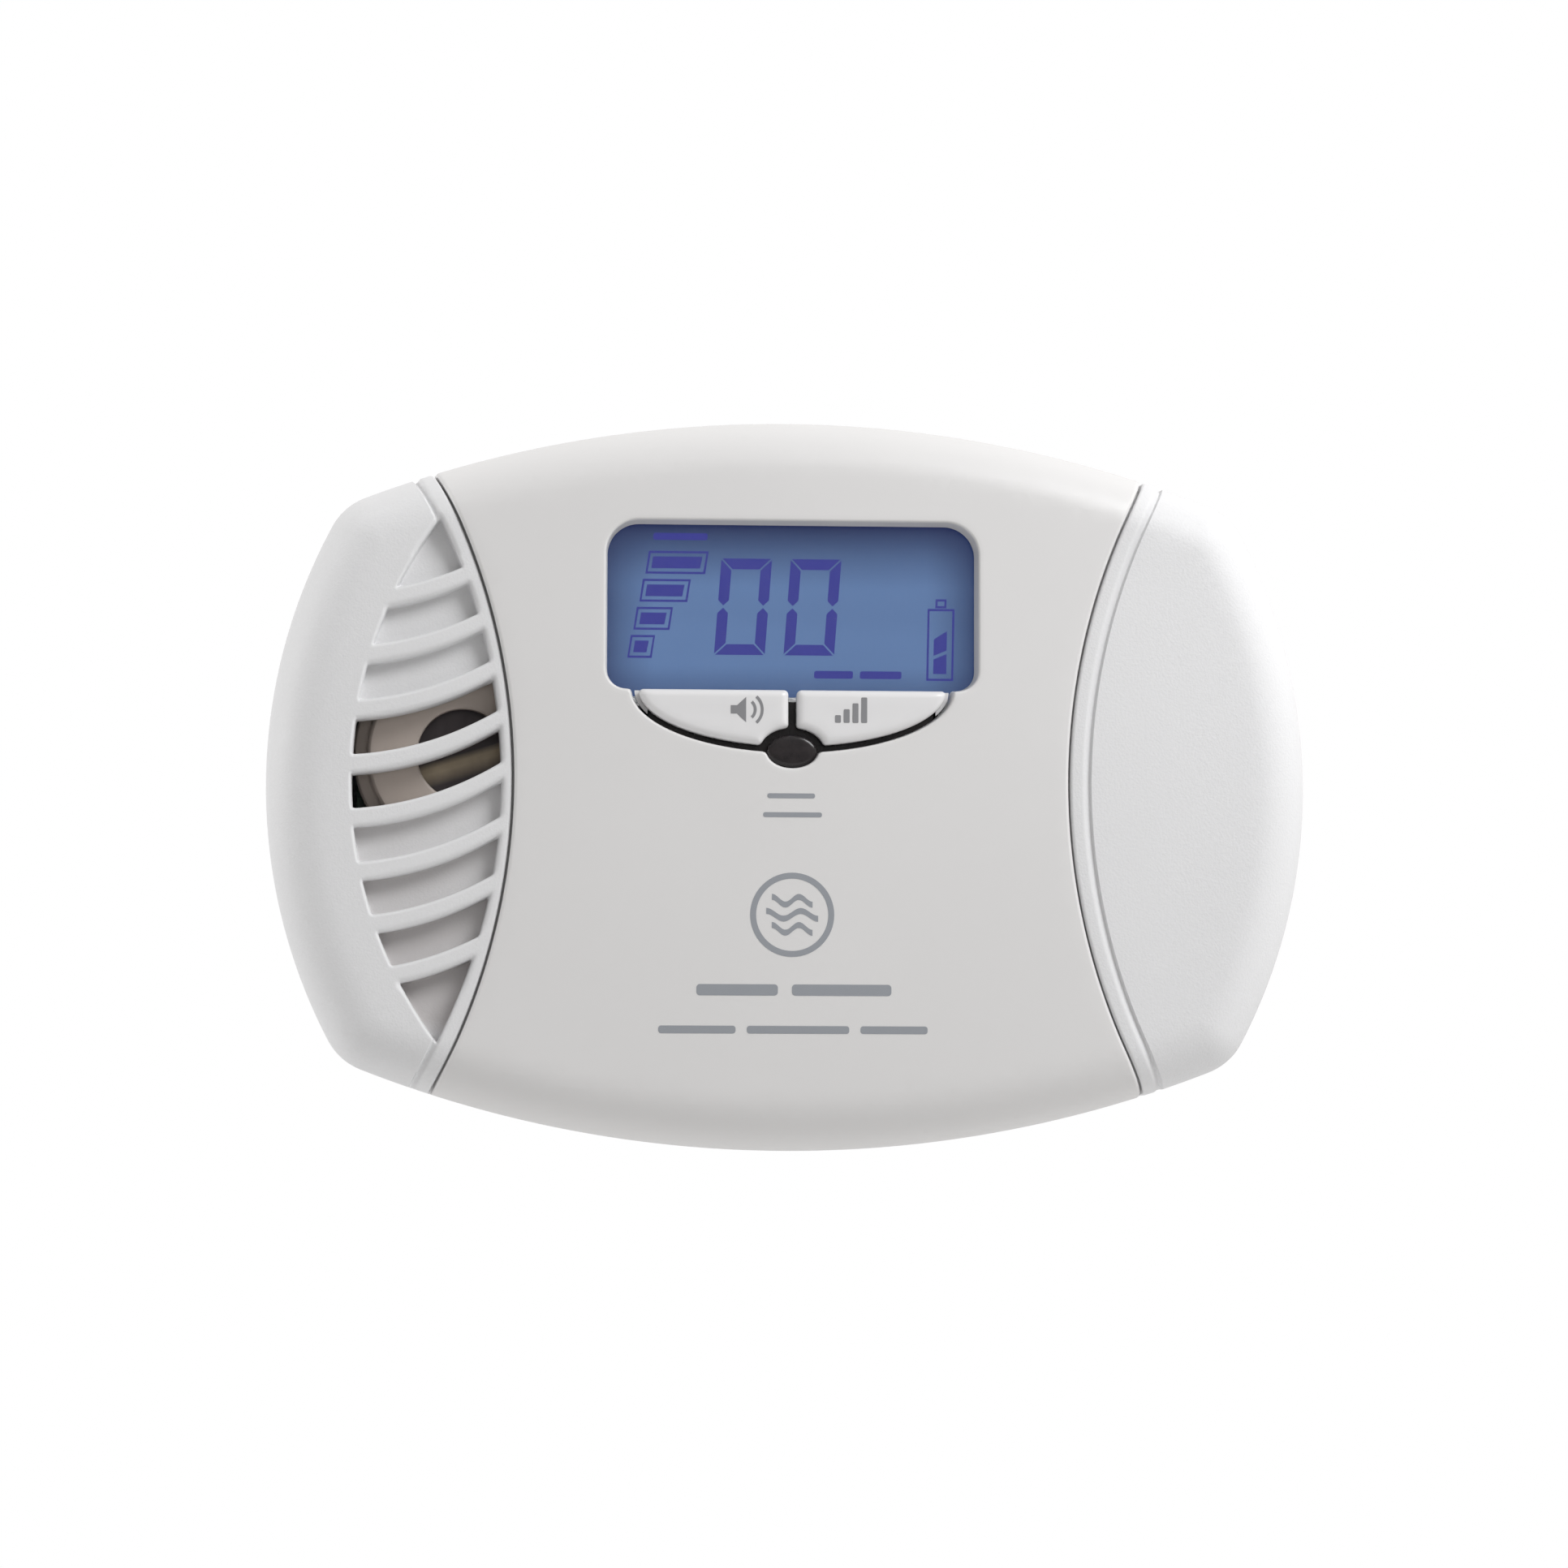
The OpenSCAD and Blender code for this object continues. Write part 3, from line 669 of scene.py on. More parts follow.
def displayGlow(name, w):
    # backlit blue glass: light in the middle, falling off towards the edges; the darkening at the top is
    # painted shadow of the window's upper wall
    f = Finish(name)
    x, z = f.axis(0) / mm, f.axis(2) / mm
    side = f.node("Math", {"operation": "ABSOLUTE"}, {0: x})
    # painted shadow: dark within 9 mm of the top edge, under the window's upper wall
    top = f.spread(w["high"] - z, 0.0, 9.0, 0.0, 1.0) ** 0.9
    low = f.spread(z - w["low"], -1.0, 4.0, 0.45, 1.0)
    ends = f.spread(w["half"] - side, 0.0, 7.0, 0.08, 1.0)
    wash = f.spread(f.noise(34.0, 2.0, 0.5, f.stretched((0.2, 1, 3))),
                    0.3, 0.7, 0.92, 1.06)
    glow = f.node("Clamp", {}, {"Value": top * low * (ends ** 0.6) * wash})
    shade = f.blend(glow, (0.002, 0.006, 0.062), (0.104, 0.192, 0.382))
    dots = f.noise(2600.0, 1.0)
    return f.surface(Base_Color=(0.02, 0.03, 0.06), Roughness=f.vary(dots, 0.3, 0.38),
                     Emission_Color=shade, Emission_Strength=0.9)


def displayInk(name, colour):
    # switched-on liquid crystal: dark violet, a little uneven
    f = Finish(name)
    shade = f.blend(f.noise(300.0), colour, tinted(colour, 1.12))
    return f.surface(Base_Color=(0.01, 0.01, 0.02), Roughness=f.vary(f.noise(900.0), 0.3, 0.4),
                     Emission_Color=shade, Emission_Strength=0.9)


def printInk(name, colour):
    # pad-printed ink: slightly glossier than the plastic, with tiny voids
    f = Finish(name)
    voids = f.spread(f.cells(2400.0), 0.0, 0.16, 0.35, 0.0)
    shade = f.blend(voids, colour, tinted(colour, 1.35))
    return f.surface(Base_Color=shade, Roughness=f.vary(f.noise(500.0), 0.34, 0.44),
                     Normal=f.bump(f.noise(1800.0), 0.000005, 0.5))


def clearPlastic(name, tint=(1.0, 1.0, 1.0), rough=0.04):
    f = Finish(name)
    haze = f.vary(f.noise(60.0, 3.0), rough, rough + 0.03)
    return f.surface(Base_Color=f.blend(f.noise(20.0), tint, tinted(tint, 0.98)), Roughness=haze,
                     Transmission_Weight=1.0, IOR=1.3)


def smokedPlastic(name):
    # near-black translucent moulding with a glossy face and moulded ripples
    f = Finish(name)
    ripple = f.noise(600.0, 2.0)
    shade = f.blend(f.vary(ripple, 0.0, 1.0), (0.010, 0.008, 0.009), (0.024, 0.019, 0.020))
    return f.surface(Base_Color=shade, Roughness=f.vary(f.noise(200.0), 0.18, 0.3),
                     Normal=f.bump(ripple, 0.00003, 0.5))


def cellWrap(name):
    # shrink sleeve: dark for most of its length, a copper band at the button end of each cell
    f = Finish(name)
    x, z = f.axis(0) / mm, f.axis(2) / mm
    upper = f.spread(z, cells["middle"] - 0.1, cells["middle"] + 0.1, 1.0, -1.0)
    band = f.spread(x * upper, cells["band"], cells["band"] + 0.12, 0.0, 1.0)
    scratch = f.spread(f.noise(700.0, 4.0, 0.7), 0.55, 0.75, 0.0, 1.0)
    shade = f.blend(band, (0.012, 0.013, 0.016), (0.42, 0.17, 0.06))
    shade = f.blend(scratch * 0.3, shade, (0.2, 0.2, 0.2))
    return f.surface(Base_Color=shade, Roughness=f.spread(scratch, 0.0, 1.0, 0.22, 0.4), Metallic=band * 0.7,
                     Normal=f.bump(f.noise(160.0), 0.00002, 0.4))


def weave(name, colour):
    # flat pull ribbon: two crossing sets of threads, darker where the threads dip as painted shade between
    # them
    f = Finish(name)
    warp = f.node("TexWave", {"bands_direction": "X"}, {"Vector": f.place, "Scale": 520.0, "Distortion": 0.4})
    weft = f.node("TexWave", {"bands_direction": "Z"}, {"Vector": f.place, "Scale": 900.0, "Distortion": 0.4})
    thread = warp * 0.6 + weft * 0.4
    shade = f.blend(thread, tinted(colour, 0.55), tinted(colour, 1.15))
    return f.surface(Base_Color=shade, Roughness=f.spread(thread, 0.0, 1.0, 0.8, 0.6),
                     Normal=f.bump(thread, 0.00008, 0.8))


def labelPaper(name):
    # blank silver-white film label with a faint fibre
    f = Finish(name)
    fibre = f.noise(1300.0, 4.0, 0.7, f.stretched((1, 1, 3)))
    shade = f.blend(f.spread(fibre, 0.35, 0.65, 0.0, 1.0), (0.70, 0.71, 0.72), (0.78, 0.785, 0.79))
    return f.surface(Base_Color=shade, Roughness=f.vary(fibre, 0.42, 0.55),
                     Normal=f.bump(fibre, 0.00001, 0.5))


def sensorFoam(name):
    # sintered filter cap: open-pored off-white, with painted shade in the pores
    f = Finish(name)
    pores = f.spread(f.cells(2600.0), 0.05, 0.4, 0.0, 1.0)
    shade = f.blend(pores, (0.42, 0.41, 0.38), (0.74, 0.73, 0.70))
    return f.surface(Base_Color=shade, Roughness=f.spread(pores, 0.0, 1.0, 0.9, 0.7),
                     Normal=f.bump(pores, 0.00006, 0.8))


def sleeveFilm(name):
    # capacitor sleeve with its pale stripe running down one side
    f = Finish(name)
    y = f.axis(1) / mm
    bands = f.node("TexWave", {"bands_direction": "X"}, {"Vector": f.place, "Scale": 30.0})
    stripe = f.spread(bands, 0.9, 0.94, 0.0, 1.0)
    lid = f.spread(y, -31.9, -31.85, 1.0, 0.0)
    gloss = f.vary(f.noise(240.0), 0.25, 0.4)
    shade = f.blend(stripe, (0.015, 0.02, 0.05), (0.45, 0.46, 0.5))
    shade = f.blend(lid, shade, (0.6, 0.6, 0.61))
    return f.surface(Base_Color=shade, Roughness=gloss, Metallic=lid)


print("materials: plastics")
white = (0.715, 0.715, 0.722)
panelWhite = (0.68, 0.672, 0.668)
# where the painted shade lies in the grille's closed slots, and how dark it is
paintedShade = {
    "start": -34.6,
    "full": -33.2,
    "left": -64.0,
    "right": -25.5,
    "top": 0.1,
    "low": -37.0,
    "sideFade": 2.0,
    "lowFade": 3.0,
    "fadeHigh": 15.0,
    "fadeLow": -25.0,
    "tint": (0.73, 0.70, 0.69),
}
wingSkin = sparkPlastic("sparkWhite", white, paintedShade=paintedShade)
rearSkin = sparkPlastic("rearWhite", (0.73, 0.73, 0.735), 1.3)
panelSkin = satinPlastic("panelSatin", panelWhite)
buttonSkin = satinPlastic("buttonGloss", (0.72, 0.715, 0.72), 0.20, 0.28, 0.000004)


edges = {
    "seatDrop": 1.6,
    "seatFillet": 0.45,
    "grooveStart": 1.75,
    "grooveLow": 2.75,
    "grooveEnd": 3.05,
    "grooveDrop": 0.55,
    "wall": 2.6,
}
radiusGap = grille["backRadius"] ** 2 - grille["radius"] ** 2 - grille["backCentre"] ** 2
apexX = radiusGap / (-2 * grille["backCentre"])
apexZ = math.sqrt(grille["radius"] ** 2 - apexX ** 2)


def waistDistance(x, z, half):
    # distance out from the waist arc of that half width, positive on the wing
    r = case["waistCentre"] - half
    return r - math.hypot(abs(x) - case["waistCentre"], z)


def grooveDrop(d):
    e = edges
    if d <= e["grooveStart"] or d >= e["grooveEnd"]:
        return 0.0
    if d < e["grooveLow"]:
        s = (d - e["grooveStart"]) / (e["grooveLow"] - e["grooveStart"])
        return e["grooveDrop"] * s * s * (3 - 2 * s)
    s = (e["grooveEnd"] - d) / (e["grooveEnd"] - e["grooveLow"])
    return e["grooveDrop"] * s * s * (3 - 2 * s)


def frontPlace(x, z):
    point, n = casePoint(x, z)
    d = waistDistance(x, z, case["seatHalf"])
    if d < -0.005:
        drop = edges["seatDrop"]
    else:
        drop = arcFillet(max(0.0, d), edges["seatFillet"])
        fade = 1.0 if x > 0 else unit((abs(z) - apexZ + 2.0) / 1.2)
        drop += grooveDrop(d) * fade
    inner = point - n * edges["wall"]
    return point - n * drop, innerFront(x, z, inner)


def grilleDistance(x, z):
    g = grille
    return max(math.hypot(x, z) - g["radius"], math.hypot(x - g["backCentre"], z) - g["backRadius"])


def innerFront(x, z, inner):
    # the land behind the grille is thicker than the rest of the wall
    d = grilleDistance(x, z)
    s = unit((2.2 - d) / 1.2) if x < 0 else 0.0
    t = caseInset(x, z)[0]
    s *= unit((t - 5.0) / 3.0)
    depth = inner.y + (min(inner.y, grille["landDepth"]) - inner.y) * s * s * (3 - 2 * s)
    return Vector((inner.x, depth, inner.z))


# how far in from a slot's edge, and how far down, each ring of its rounded lip lies
slotRings = ((0.38, 0.0), (0.30, 0.012), (0.20, 0.055), (0.11, 0.13), (0.04, 0.22), (-0.02, 0.33),
             (-0.05, 0.45), (-0.08, 0.6))


def slotCentre(k):
    inside = [(x, z) for x, z in hexGrid(-63, -40, -39, 39, 0.5) if slotDistance(k, x, z) < 0]
    return sum(p[0] for p in inside) / len(inside), sum(p[1] for p in inside) / len(inside)


def slotShape(k, centre):
    # a slot's distance, stretched above it so that the slat's underside rolls in more softly
    def shape(x, z):
        d = slotDistance(k, x, z)
        if d <= 0:
            return d
        up = (z - centre[1]) / (math.hypot(x - centre[0], z - centre[1]) or 1.0)
        return d / (1 + grille["softUnder"] * unit(up * 5))

    return shape


def lipStretch(z, centre):
    # the lip is deeper along the upper side of a slot
    return 1 + 0.8 * unit((z - centre[1]) / 2.0)


def slotFloor(x, z, k):
    # closed slots are dished, deepest under the slat above, and get deeper down the grille
    g = grille
    top = g["slatBase"] + g["pitch"] * (3.5 - k)
    rise = math.hypot(x - g["slatCentre"], z - top - g["slatRadius"]) - g["slatRadius"]
    lean = unit(0.5 - rise / (g["pitch"] - g["slatThick"]))
    drop = g["floorDrop"] + g["floorStep"] * max(0, k - 4)
    return max(g["landDepth"] + g["floorThick"], casePoint(x, z)[0].y - drop * (0.72 + 0.28 * lean))


def pullWall(skin):
    # side wall from the rim back to the seam, with a small step at the joint and two latch notches
    rim, seam, wall = case["rimDepth"], case["seamDepth"], edges["wall"]
    level = rim + 1.2
    for depth, inset in ((rim - 3, 0.05), (rim - 6, 0.2), (seam + 1.5, 0.4), (seam + 0.5, 0.44), (seam, 0.7)):

        def drawn(co, depth=depth, inset=inset):
            x, z, ux, uz = insetPoint(co, inset)
            back = depth
            if z < 0 and abs(abs(x) - case["latchX"]) < case["latchHalf"] + 0.03:
                back = max(depth, case["latchDepth"] + 0.02 * (depth - seam))
            return (x, back, z), (x - ux * wall, max(back, seam + 0.01), z - uz * wall)

        def rimEdge(co, level=level):
            notch = co.z < 0 and abs(abs(co.x) - case["latchX"]) < case["latchHalf"] + 0.1
            return co.y < (level + 1.6 if notch and level < 22 else level) and caseInset(co.x, co.z)[0] < 2.2

        skin.pull(rimEdge, drawn)
        level = depth + 0.01


def buildFrontCover():
    skin = Skin()
    lines = rollLines()
    fillets = [-0.02, 0.0, 0.03, 0.1, 0.2, 0.32, 0.45]
    grooves = [1.55, 1.75, 2.0, 2.25, 2.5, 2.68, 2.75, 2.82, 2.95, 3.05, 3.25]
    for side in (-1, 1):
        for d in fillets + grooves:
            arc = waistArc(side, case["waistCentre"] - case["seatHalf"] - d)
            if d in fillets or side > 0:
                lines.append((arc, False))
            else:
                lines.append(([p for p in arc if p[1] > apexZ - 1.2], False))
                lines.append(([p for p in arc if p[1] < 1.2 - apexZ], False))
    slots = []
    for k in range(grille["slats"] + 1):
        centre = slotCentre(k)
        near = slotShape(k, centre)
        angles = starAngles(near, centre, 170 if 0 < k < grille["slats"] else 130)
        slots.append((near, centre, angles))
        lines.append((starLoop(near, centre, angles, slotRings[0][0]), True))
        lines.append((starLoop(near, centre, angles, 0.55), True))
    grown = lambda x, z: windowDistance(x, z) - 0.5
    paneAngles = starAngles(grown, window["centre"], 150)
    lines.append((starLoop(grown, window["centre"], paneAngles, 0.0), True))
    grid = [p for p in hexGrid(-74, 74, -52, 52, 2.6) if caseInset(*p)[0] > 0.6]
    grid = [p for p in grid if p[0] > -36 or min(s[0](*p) for s in slots) > 1.1]
    grid = [p for p in grid if not -0.6 < waistDistance(*p, case["seatHalf"]) < 3.8]

    def keep(x, z):
        if caseInset(x, z)[0] < 0 or grown(x, z) < 0:
            return False
        return x > -38 or min(s[0](x, z) for s in slots) > slotRings[0][0]

    skin.sheet(grid, lines, keep, frontPlace)
    for k, (near, centre, angles) in enumerate(slots):
        rows = []
        for level, drop in slotRings:
            loop = starLoop(near, centre, angles, level)
            row = []
            for x, z in loop:
                outer, inner = frontPlace(x, z)
                low = inner if drop == 0.0 else Vector((x, grille["landDepth"], z))
                row.append(skin.vert(outer - Vector((0, drop * lipStretch(z, centre), 0)), low))
            rows.append(row)
        if k in grille["open"]:
            for level, depth in ((-0.13, 34.4), (-0.17, 32.8), (-0.2, grille["landDepth"] + 0.3)):
                loop = starLoop(near, centre, angles, level)
                rows.append([skin.vert((x, depth, z), (x, grille["landDepth"], z)) for x, z in loop])
        else:
            for level, mix in ((-0.13, 0.6), (-0.17, 0.9), (-0.26, 0.98), (-0.45, 1.0)):
                loop = starLoop(near, centre, angles, level)
                row = []
                for x, z in loop:
                    top = frontPlace(x, z)[0].y - slotRings[-1][1] * lipStretch(z, centre)
                    depth = top + (slotFloor(x, z, k) - top) * mix
                    row.append(skin.vert((x, depth, z), (x, grille["landDepth"], z)))
                rows.append(row)
            last = starLoop(near, centre, angles, -0.45)
            inner = [p for p in hexGrid(-64, -40, -39, 39, 1.0) if near(*p) < -0.8]
            skin.sheet(inner, [(last, True)], lambda x, z: near(x, z) < -0.45,
                       lambda x, z: ((x, slotFloor(x, z, k), z), (x, grille["landDepth"], z)))
        for a, b in zip(rows, rows[1:]):
            skin.strip(a, b)
    skin.weld()
    pullWall(skin)
    bm = skin.close()
    for x in (-bosses["x"], bosses["x"]):
        for z in (-bosses["z"], bosses["z"]):
            addTube(bm, x, z, bosses["bore"], bosses["radius"], case["seamDepth"] + 0.2, bosses["front"])
    return toObject(bm, "frontCover", 32)


bosses = {"x": 58, "z": 33, "bore": 1.3, "radius": 3.3, "front": 33.6, "floor": 3.5}


def addTube(bm, x, z, inner, outer, near, far):
    # a plain boss: open bore at the near end, closed at the far end
    floor = far - bosses["floor"]
    rings = ((outer, near), (outer, far), (0.02, far), (0.02, floor), (inner, floor), (inner, near))
    lathe(bm, rings, lambda a, b, t: (x + a, t, z + b), 32, True)


print("front cover")
settle(buildFrontCover(), "housing", wingSkin, "white_shell", "front_cover")


panel = {
    "thick": 1.5,
    "fillet": 0.55,
    "rearDepth": 22.0,
    # rings of the window's rounded lip and drafted wall: distance from the edge, then the drop
    "lip": ((0.35, 0.0), (0.26, 0.02), (0.16, 0.07), (0.08, 0.15), (0.02, 0.26), (-0.02, 0.42),
            (-0.06, 0.9), (-0.14, 2.0), (-0.24, 3.0), (-0.32, None)),
}


def panelPlace(x, z):
    point, n = casePoint(x, z, case["panelRise"])
    d = -waistDistance(x, z, case["panelHalf"])
    drop = arcFillet(max(0.0, d), panel["fillet"])
    low = point - n * panel["thick"]
    return point - n * drop, low


def buildPanel():
    skin = Skin()
    lines = rollLines()
    for side in (-1, 1):
        for d in (0.0, 0.02, 0.07, 0.16, 0.28, 0.42, 0.55):
            lines.append((waistArc(side, case["waistCentre"] - case["panelHalf"] + d), False))
    openCentre = window["centre"]
    angles = starAngles(windowDistance, openCentre, 320)
    lines.append((starLoop(windowDistance, openCentre, angles, 0.35), True))
    lines.append((starLoop(windowDistance, openCentre, angles, 0.9), True))
    grid = [p for p in hexGrid(-54, 54, -52, 52, 2.4) if caseInset(*p)[0] > 0.6]
    grid = [p for p in grid if waistDistance(*p, case["panelHalf"]) < -1.2 and windowDistance(*p) > 1.8]

    def keep(x, z):
        if caseInset(x, z)[0] < 0 or waistDistance(x, z, case["panelHalf"]) > 0:
            return False
        return windowDistance(x, z) > 0.35

    skin.sheet(grid, lines, keep, panelPlace)
    rows = []
    for level, drop in panel["lip"]:
        row = []
        for x, z in starLoop(windowDistance, openCentre, angles, level):
            point, low = panelPlace(x, z)
            depth = window["wallEnd"] if drop is None else point.y - drop
            d = windowDistance(x + 0.01, z) - windowDistance(x, z)
            e = windowDistance(x, z + 0.01) - windowDistance(x, z)
            out = Vector((d, 0, e)).normalized() * (0.34 - level)
            under = (x + out.x, min(depth, low.y) if drop is not None else depth + 0.02, z + out.z)
            row.append(skin.vert((x, depth, z), low if level > 0.3 else under))
        rows.append(row)
    for a, b in zip(rows, rows[1:]):
        skin.strip(a, b)
    skin.weld()
    level = case["rimDepth"] + 0.9
    for depth, inset in ((25.5, 0.02), (24.0, 0.05), (22.4, 0.12), (22.0, 0.5)):
        def drawn(co, depth=depth, inset=inset):
            x, z, ux, uz = insetPoint(co, inset)
            step = panel["thick"] - inset
            return (x, depth, z), (x - ux * step, max(depth, panel["rearDepth"] + 0.02), z - uz * step)

        rim = lambda co, level=level: co.y < level and caseInset(co.x, co.z)[0] < 1.2
        skin.pull(rim, drawn)
        level = depth + 0.01
    return toObject(skin.close(), "centrePanel", 32)


print("centre panel")
settle(buildPanel(), "housing", panelSkin, "panel_white", "centre_panel")


button = {
    "centre": (9.5, 9.9),
    "half": 22.0,
    "drop": 8.0,
    "split": 0.6,
    "lampGapX": 4.65,
    "lampGapZ": 3.35,
    "corner": 0.7,
    "face": 38.1,
    "back": 35.5,
    "fillet": 1.1,
    "stemX": 11.0,
    "stemZ": 8.6,
    "stemRadius": 1.5,
    "stemEnd": 28.3,
    "tabStart": 20.65,
    "tabHalf": 22.5,
    "tabDrop": 8.4,
    "tabBack": 34.7,
}


def buttonDistance(x, z):
    b = button
    d = ellipseDistance(x, z - window["low"], b["half"], b["drop"])
    d = roundJoin(d, z - window["low"], b["corner"])
    d = roundJoin(d, b["split"] - x, b["corner"])
    lamp = ellipseDistance(x, z - window["lampZ"], b["lampGapX"], b["lampGapZ"])
    return roundJoin(d, -lamp, 0.4)


def capDish(x, z):
    # how far the middle of the cap sinks below its rolled edge
    return 0.12 * unit((-buttonDistance(x, z) - button["fillet"]) / 3.0) ** 2


def takeIn(bm, other):
    # adds the other shape's faces to this one
    mesh = bpy.data.meshes.new("carried")
    other.to_mesh(mesh)
    other.free()
    bm.from_mesh(mesh)
    bpy.data.meshes.remove(mesh)


def buildButton(name, side):
    # a cap with a rolled edge, a slightly dished face and a stem that reaches the switch
    b = button
    centre = b["centre"]
    angles = starAngles(buttonDistance, centre, 200)
    levels = [(0.0, b["back"]), (0.0, b["face"] - b["fillet"])]
    for a in (15, 30, 45, 60, 75, 90):
        r = math.radians(a)
        levels.append((-b["fillet"] * (1 - math.cos(r)), b["face"] - b["fillet"] * (1 - math.sin(r))))
    bm = bmesh.new()
    rows = []
    for level, depth in levels:
        loop = starLoop(buttonDistance, centre, angles, level)
        rows.append([bm.verts.new((side * x, depth, z)) for x, z in loop])
    joinRings(bm, rows)
    bm.faces.new(rows[0][::-1])
    skin = Skin()
    edge = starLoop(buttonDistance, centre, angles, -b["fillet"])
    grid = [p for p in hexGrid(0, 24, 3, 14, 1.0) if buttonDistance(*p) < -b["fillet"] - 0.5]
    skin.sheet(grid, [(edge, True)], lambda x, z: buttonDistance(x, z) < -b["fillet"],
               lambda x, z: ((side * x, b["face"] - capDish(x, z), z), (0, 0, 0)))
    takeIn(bm, skin.bm)
    bmesh.ops.remove_doubles(bm, verts=bm.verts, dist=weldGap)
    # stop tab that fills the outer corner of the opening behind the cap
    tab = Skin()
    a0 = math.acos(b["tabStart"] / b["tabHalf"])
    turns = [-a0 + a0 * i / 12 for i in range(13)]
    edge = [(b["tabHalf"] * math.cos(a), window["low"] - 0.1 + b["tabDrop"] * math.sin(a)) for a in turns]
    edge.append((b["tabStart"], window["low"] - 0.1))
    tab.sheet([], [(edge, True)], lambda x, z: insideLoops([edge], x, z),
              lambda x, z: ((side * x, b["back"] + 0.1, z), (side * x, b["tabBack"], z)))
    takeIn(bm, tab.close())
    profile = ((0.8, 0.0), (b["stemRadius"], 0.6), (b["stemRadius"], b["back"] - b["stemEnd"] - 0.02))
    lathe(bm, profile, lambda p, q, t: (side * b["stemX"] + p, b["stemEnd"] + t, b["stemZ"] + q), 32)
    return toObject(bm, name, 40)


print("push buttons")
for title, node, side in (("testButton", "test_button", -1), ("peakButton", "peak_button", 1)):
    settle(buildButton(title, side), node, buttonSkin, "button_white", node)


def spaced(loop):
    # the same closed outline with no long edges
    step = 2.0
    out = []
    for (x0, z0), (x1, z1) in zip(loop, loop[1:] + loop[:1]):
        n = max(1, math.ceil(math.hypot(x1 - x0, z1 - z0) / step))
        out += [(x0 + (x1 - x0) * i / n, z0 + (z1 - z0) * i / n) for i in range(n)]
    return out


def circleLoop(cx, cz, r, steps=64):
    turns = [2 * math.pi * i / steps for i in range(steps)]
    return [(cx + r * math.cos(a), cz + r * math.sin(a)) for a in turns]


def barLoop(x0, x1, z0, z1, r=0.3, lean=0.0):
    # bar with round corners, leaning over by lean for each millimetre of height
    out = []
    corners = ((x1 - r, z0 + r, -90), (x1 - r, z1 - r, 0), (x0 + r, z1 - r, 90), (x0 + r, z0 + r, 180))
    for cx, cz, start in corners:
        for a in range(start, start + 91, 15):
            out.append((cx + r * math.cos(math.radians(a)), cz + r * math.sin(math.radians(a))))
    return [(x + (z - z0) * lean, z) for x, z in out]


def arcBand(cx, cz, r, width, a0, a1):
    # part of a ring between two angles in degrees
    steps = 14
    turns = [math.radians(a0 + (a1 - a0) * i / steps) for i in range(steps + 1)]
    outer = [(cx + (r + width / 2) * math.cos(a), cz + (r + width / 2) * math.sin(a)) for a in turns]
    inner = [(cx + (r - width / 2) * math.cos(a), cz + (r - width / 2) * math.sin(a)) for a in turns]
    return outer + inner[::-1]


def inlay(name, loops, surface, rise, sink, body, material, slot):
    # a thin closed layer of ink that follows the surface under it
    skin = Skin()

    def place(x, z):
        depth = surface(x, z)
        return (x, depth + rise, z), (x, depth - sink, z)

    lines = [(spaced(loop), True) for loop in loops]
    skin.sheet([], lines, lambda x, z: insideLoops(loops, x, z), place)
    settle(toObject(skin.close(), name, 50), body, material, slot)


print("printed marks")
marks = {"rise": 0.03, "sink": 0.05, "badgeZ": -19.0, "badgeRadius": 6.0, "ring": 0.85}
greyInk = printInk("greyInk", (0.285, 0.30, 0.325))
darkInk = printInk("darkInk", (0.235, 0.235, 0.245))


def panelFace(x, z):
    return panelPlace(x, z)[0].y


def capFace(side):
    return lambda x, z: button["face"] - capDish(side * x, z)


def waveLoop(cz, half, height, width):
    # one ripple of the badge: a wavy band
    steps = 24
    xs = [-half + 2 * half * i / steps for i in range(steps + 1)]
    high = [(x, cz + height * math.sin(x * math.pi / half * 1.5) + width / 2) for x in xs]
    return high + [(x, z - width) for x, z in reversed(high)]


def buildMarks():
    m = marks
    ring = [circleLoop(0, m["badgeZ"], r) for r in (m["badgeRadius"], m["badgeRadius"] - m["ring"])]
    spots = ((2.0, 2.9), (0.0, 3.7), (-2.0, 2.9))
    ripples = [waveLoop(m["badgeZ"] + dz, half, 0.55, 0.85) for dz, half in spots]
    inlay("printedBadge", ring + ripples, panelFace, m["rise"], m["sink"], "housing", greyInk, "horn_grey")
    rows = [barLoop(-13.6, -2.0, -30.5, -28.9, 0.5), barLoop(0.0, 14.2, -30.5, -28.9, 0.5)]
    rows += [barLoop(x0, x1, -35.9, -34.8, 0.4) for x0, x1 in ((-19.0, -8.0), (-6.4, 8.2), (9.8, 19.4))]
    inlay("printedRules", rows, panelFace, m["rise"], m["sink"], "housing", greyInk, "horn_grey")
    dashes = [barLoop(-3.6, 3.2, -2.4, -1.7, 0.3), barLoop(-4.2, 4.2, -5.1, -4.4, 0.3)]
    inlay("printedDashes", dashes, panelFace, m["rise"], m["sink"], "housing", greyInk, "horn_grey")
    # a small loudspeaker on one cap, rising bars on the other
    cone = [(-8.9, 9.6), (-8.0, 9.6), (-6.7, 8.4), (-6.7, 12.0), (-8.0, 10.8), (-8.9, 10.8)]
    sound = [cone] + [arcBand(-6.9, 10.2, r, 0.42, -48, 48) for r in (1.5, 2.5)]
    inlay("silenceMark", sound, capFace(-1), m["rise"], m["sink"], "test_button", darkInk, "horn_grey")
    bars = [barLoop(6.0 + 1.25 * i, 6.85 + 1.25 * i, 8.4, 9.5 + 0.85 * i, 0.15) for i in range(4)]
    inlay("peakMark", bars, capFace(1), m["rise"], m["sink"], "peak_button", darkInk, "horn_grey")


buildMarks()

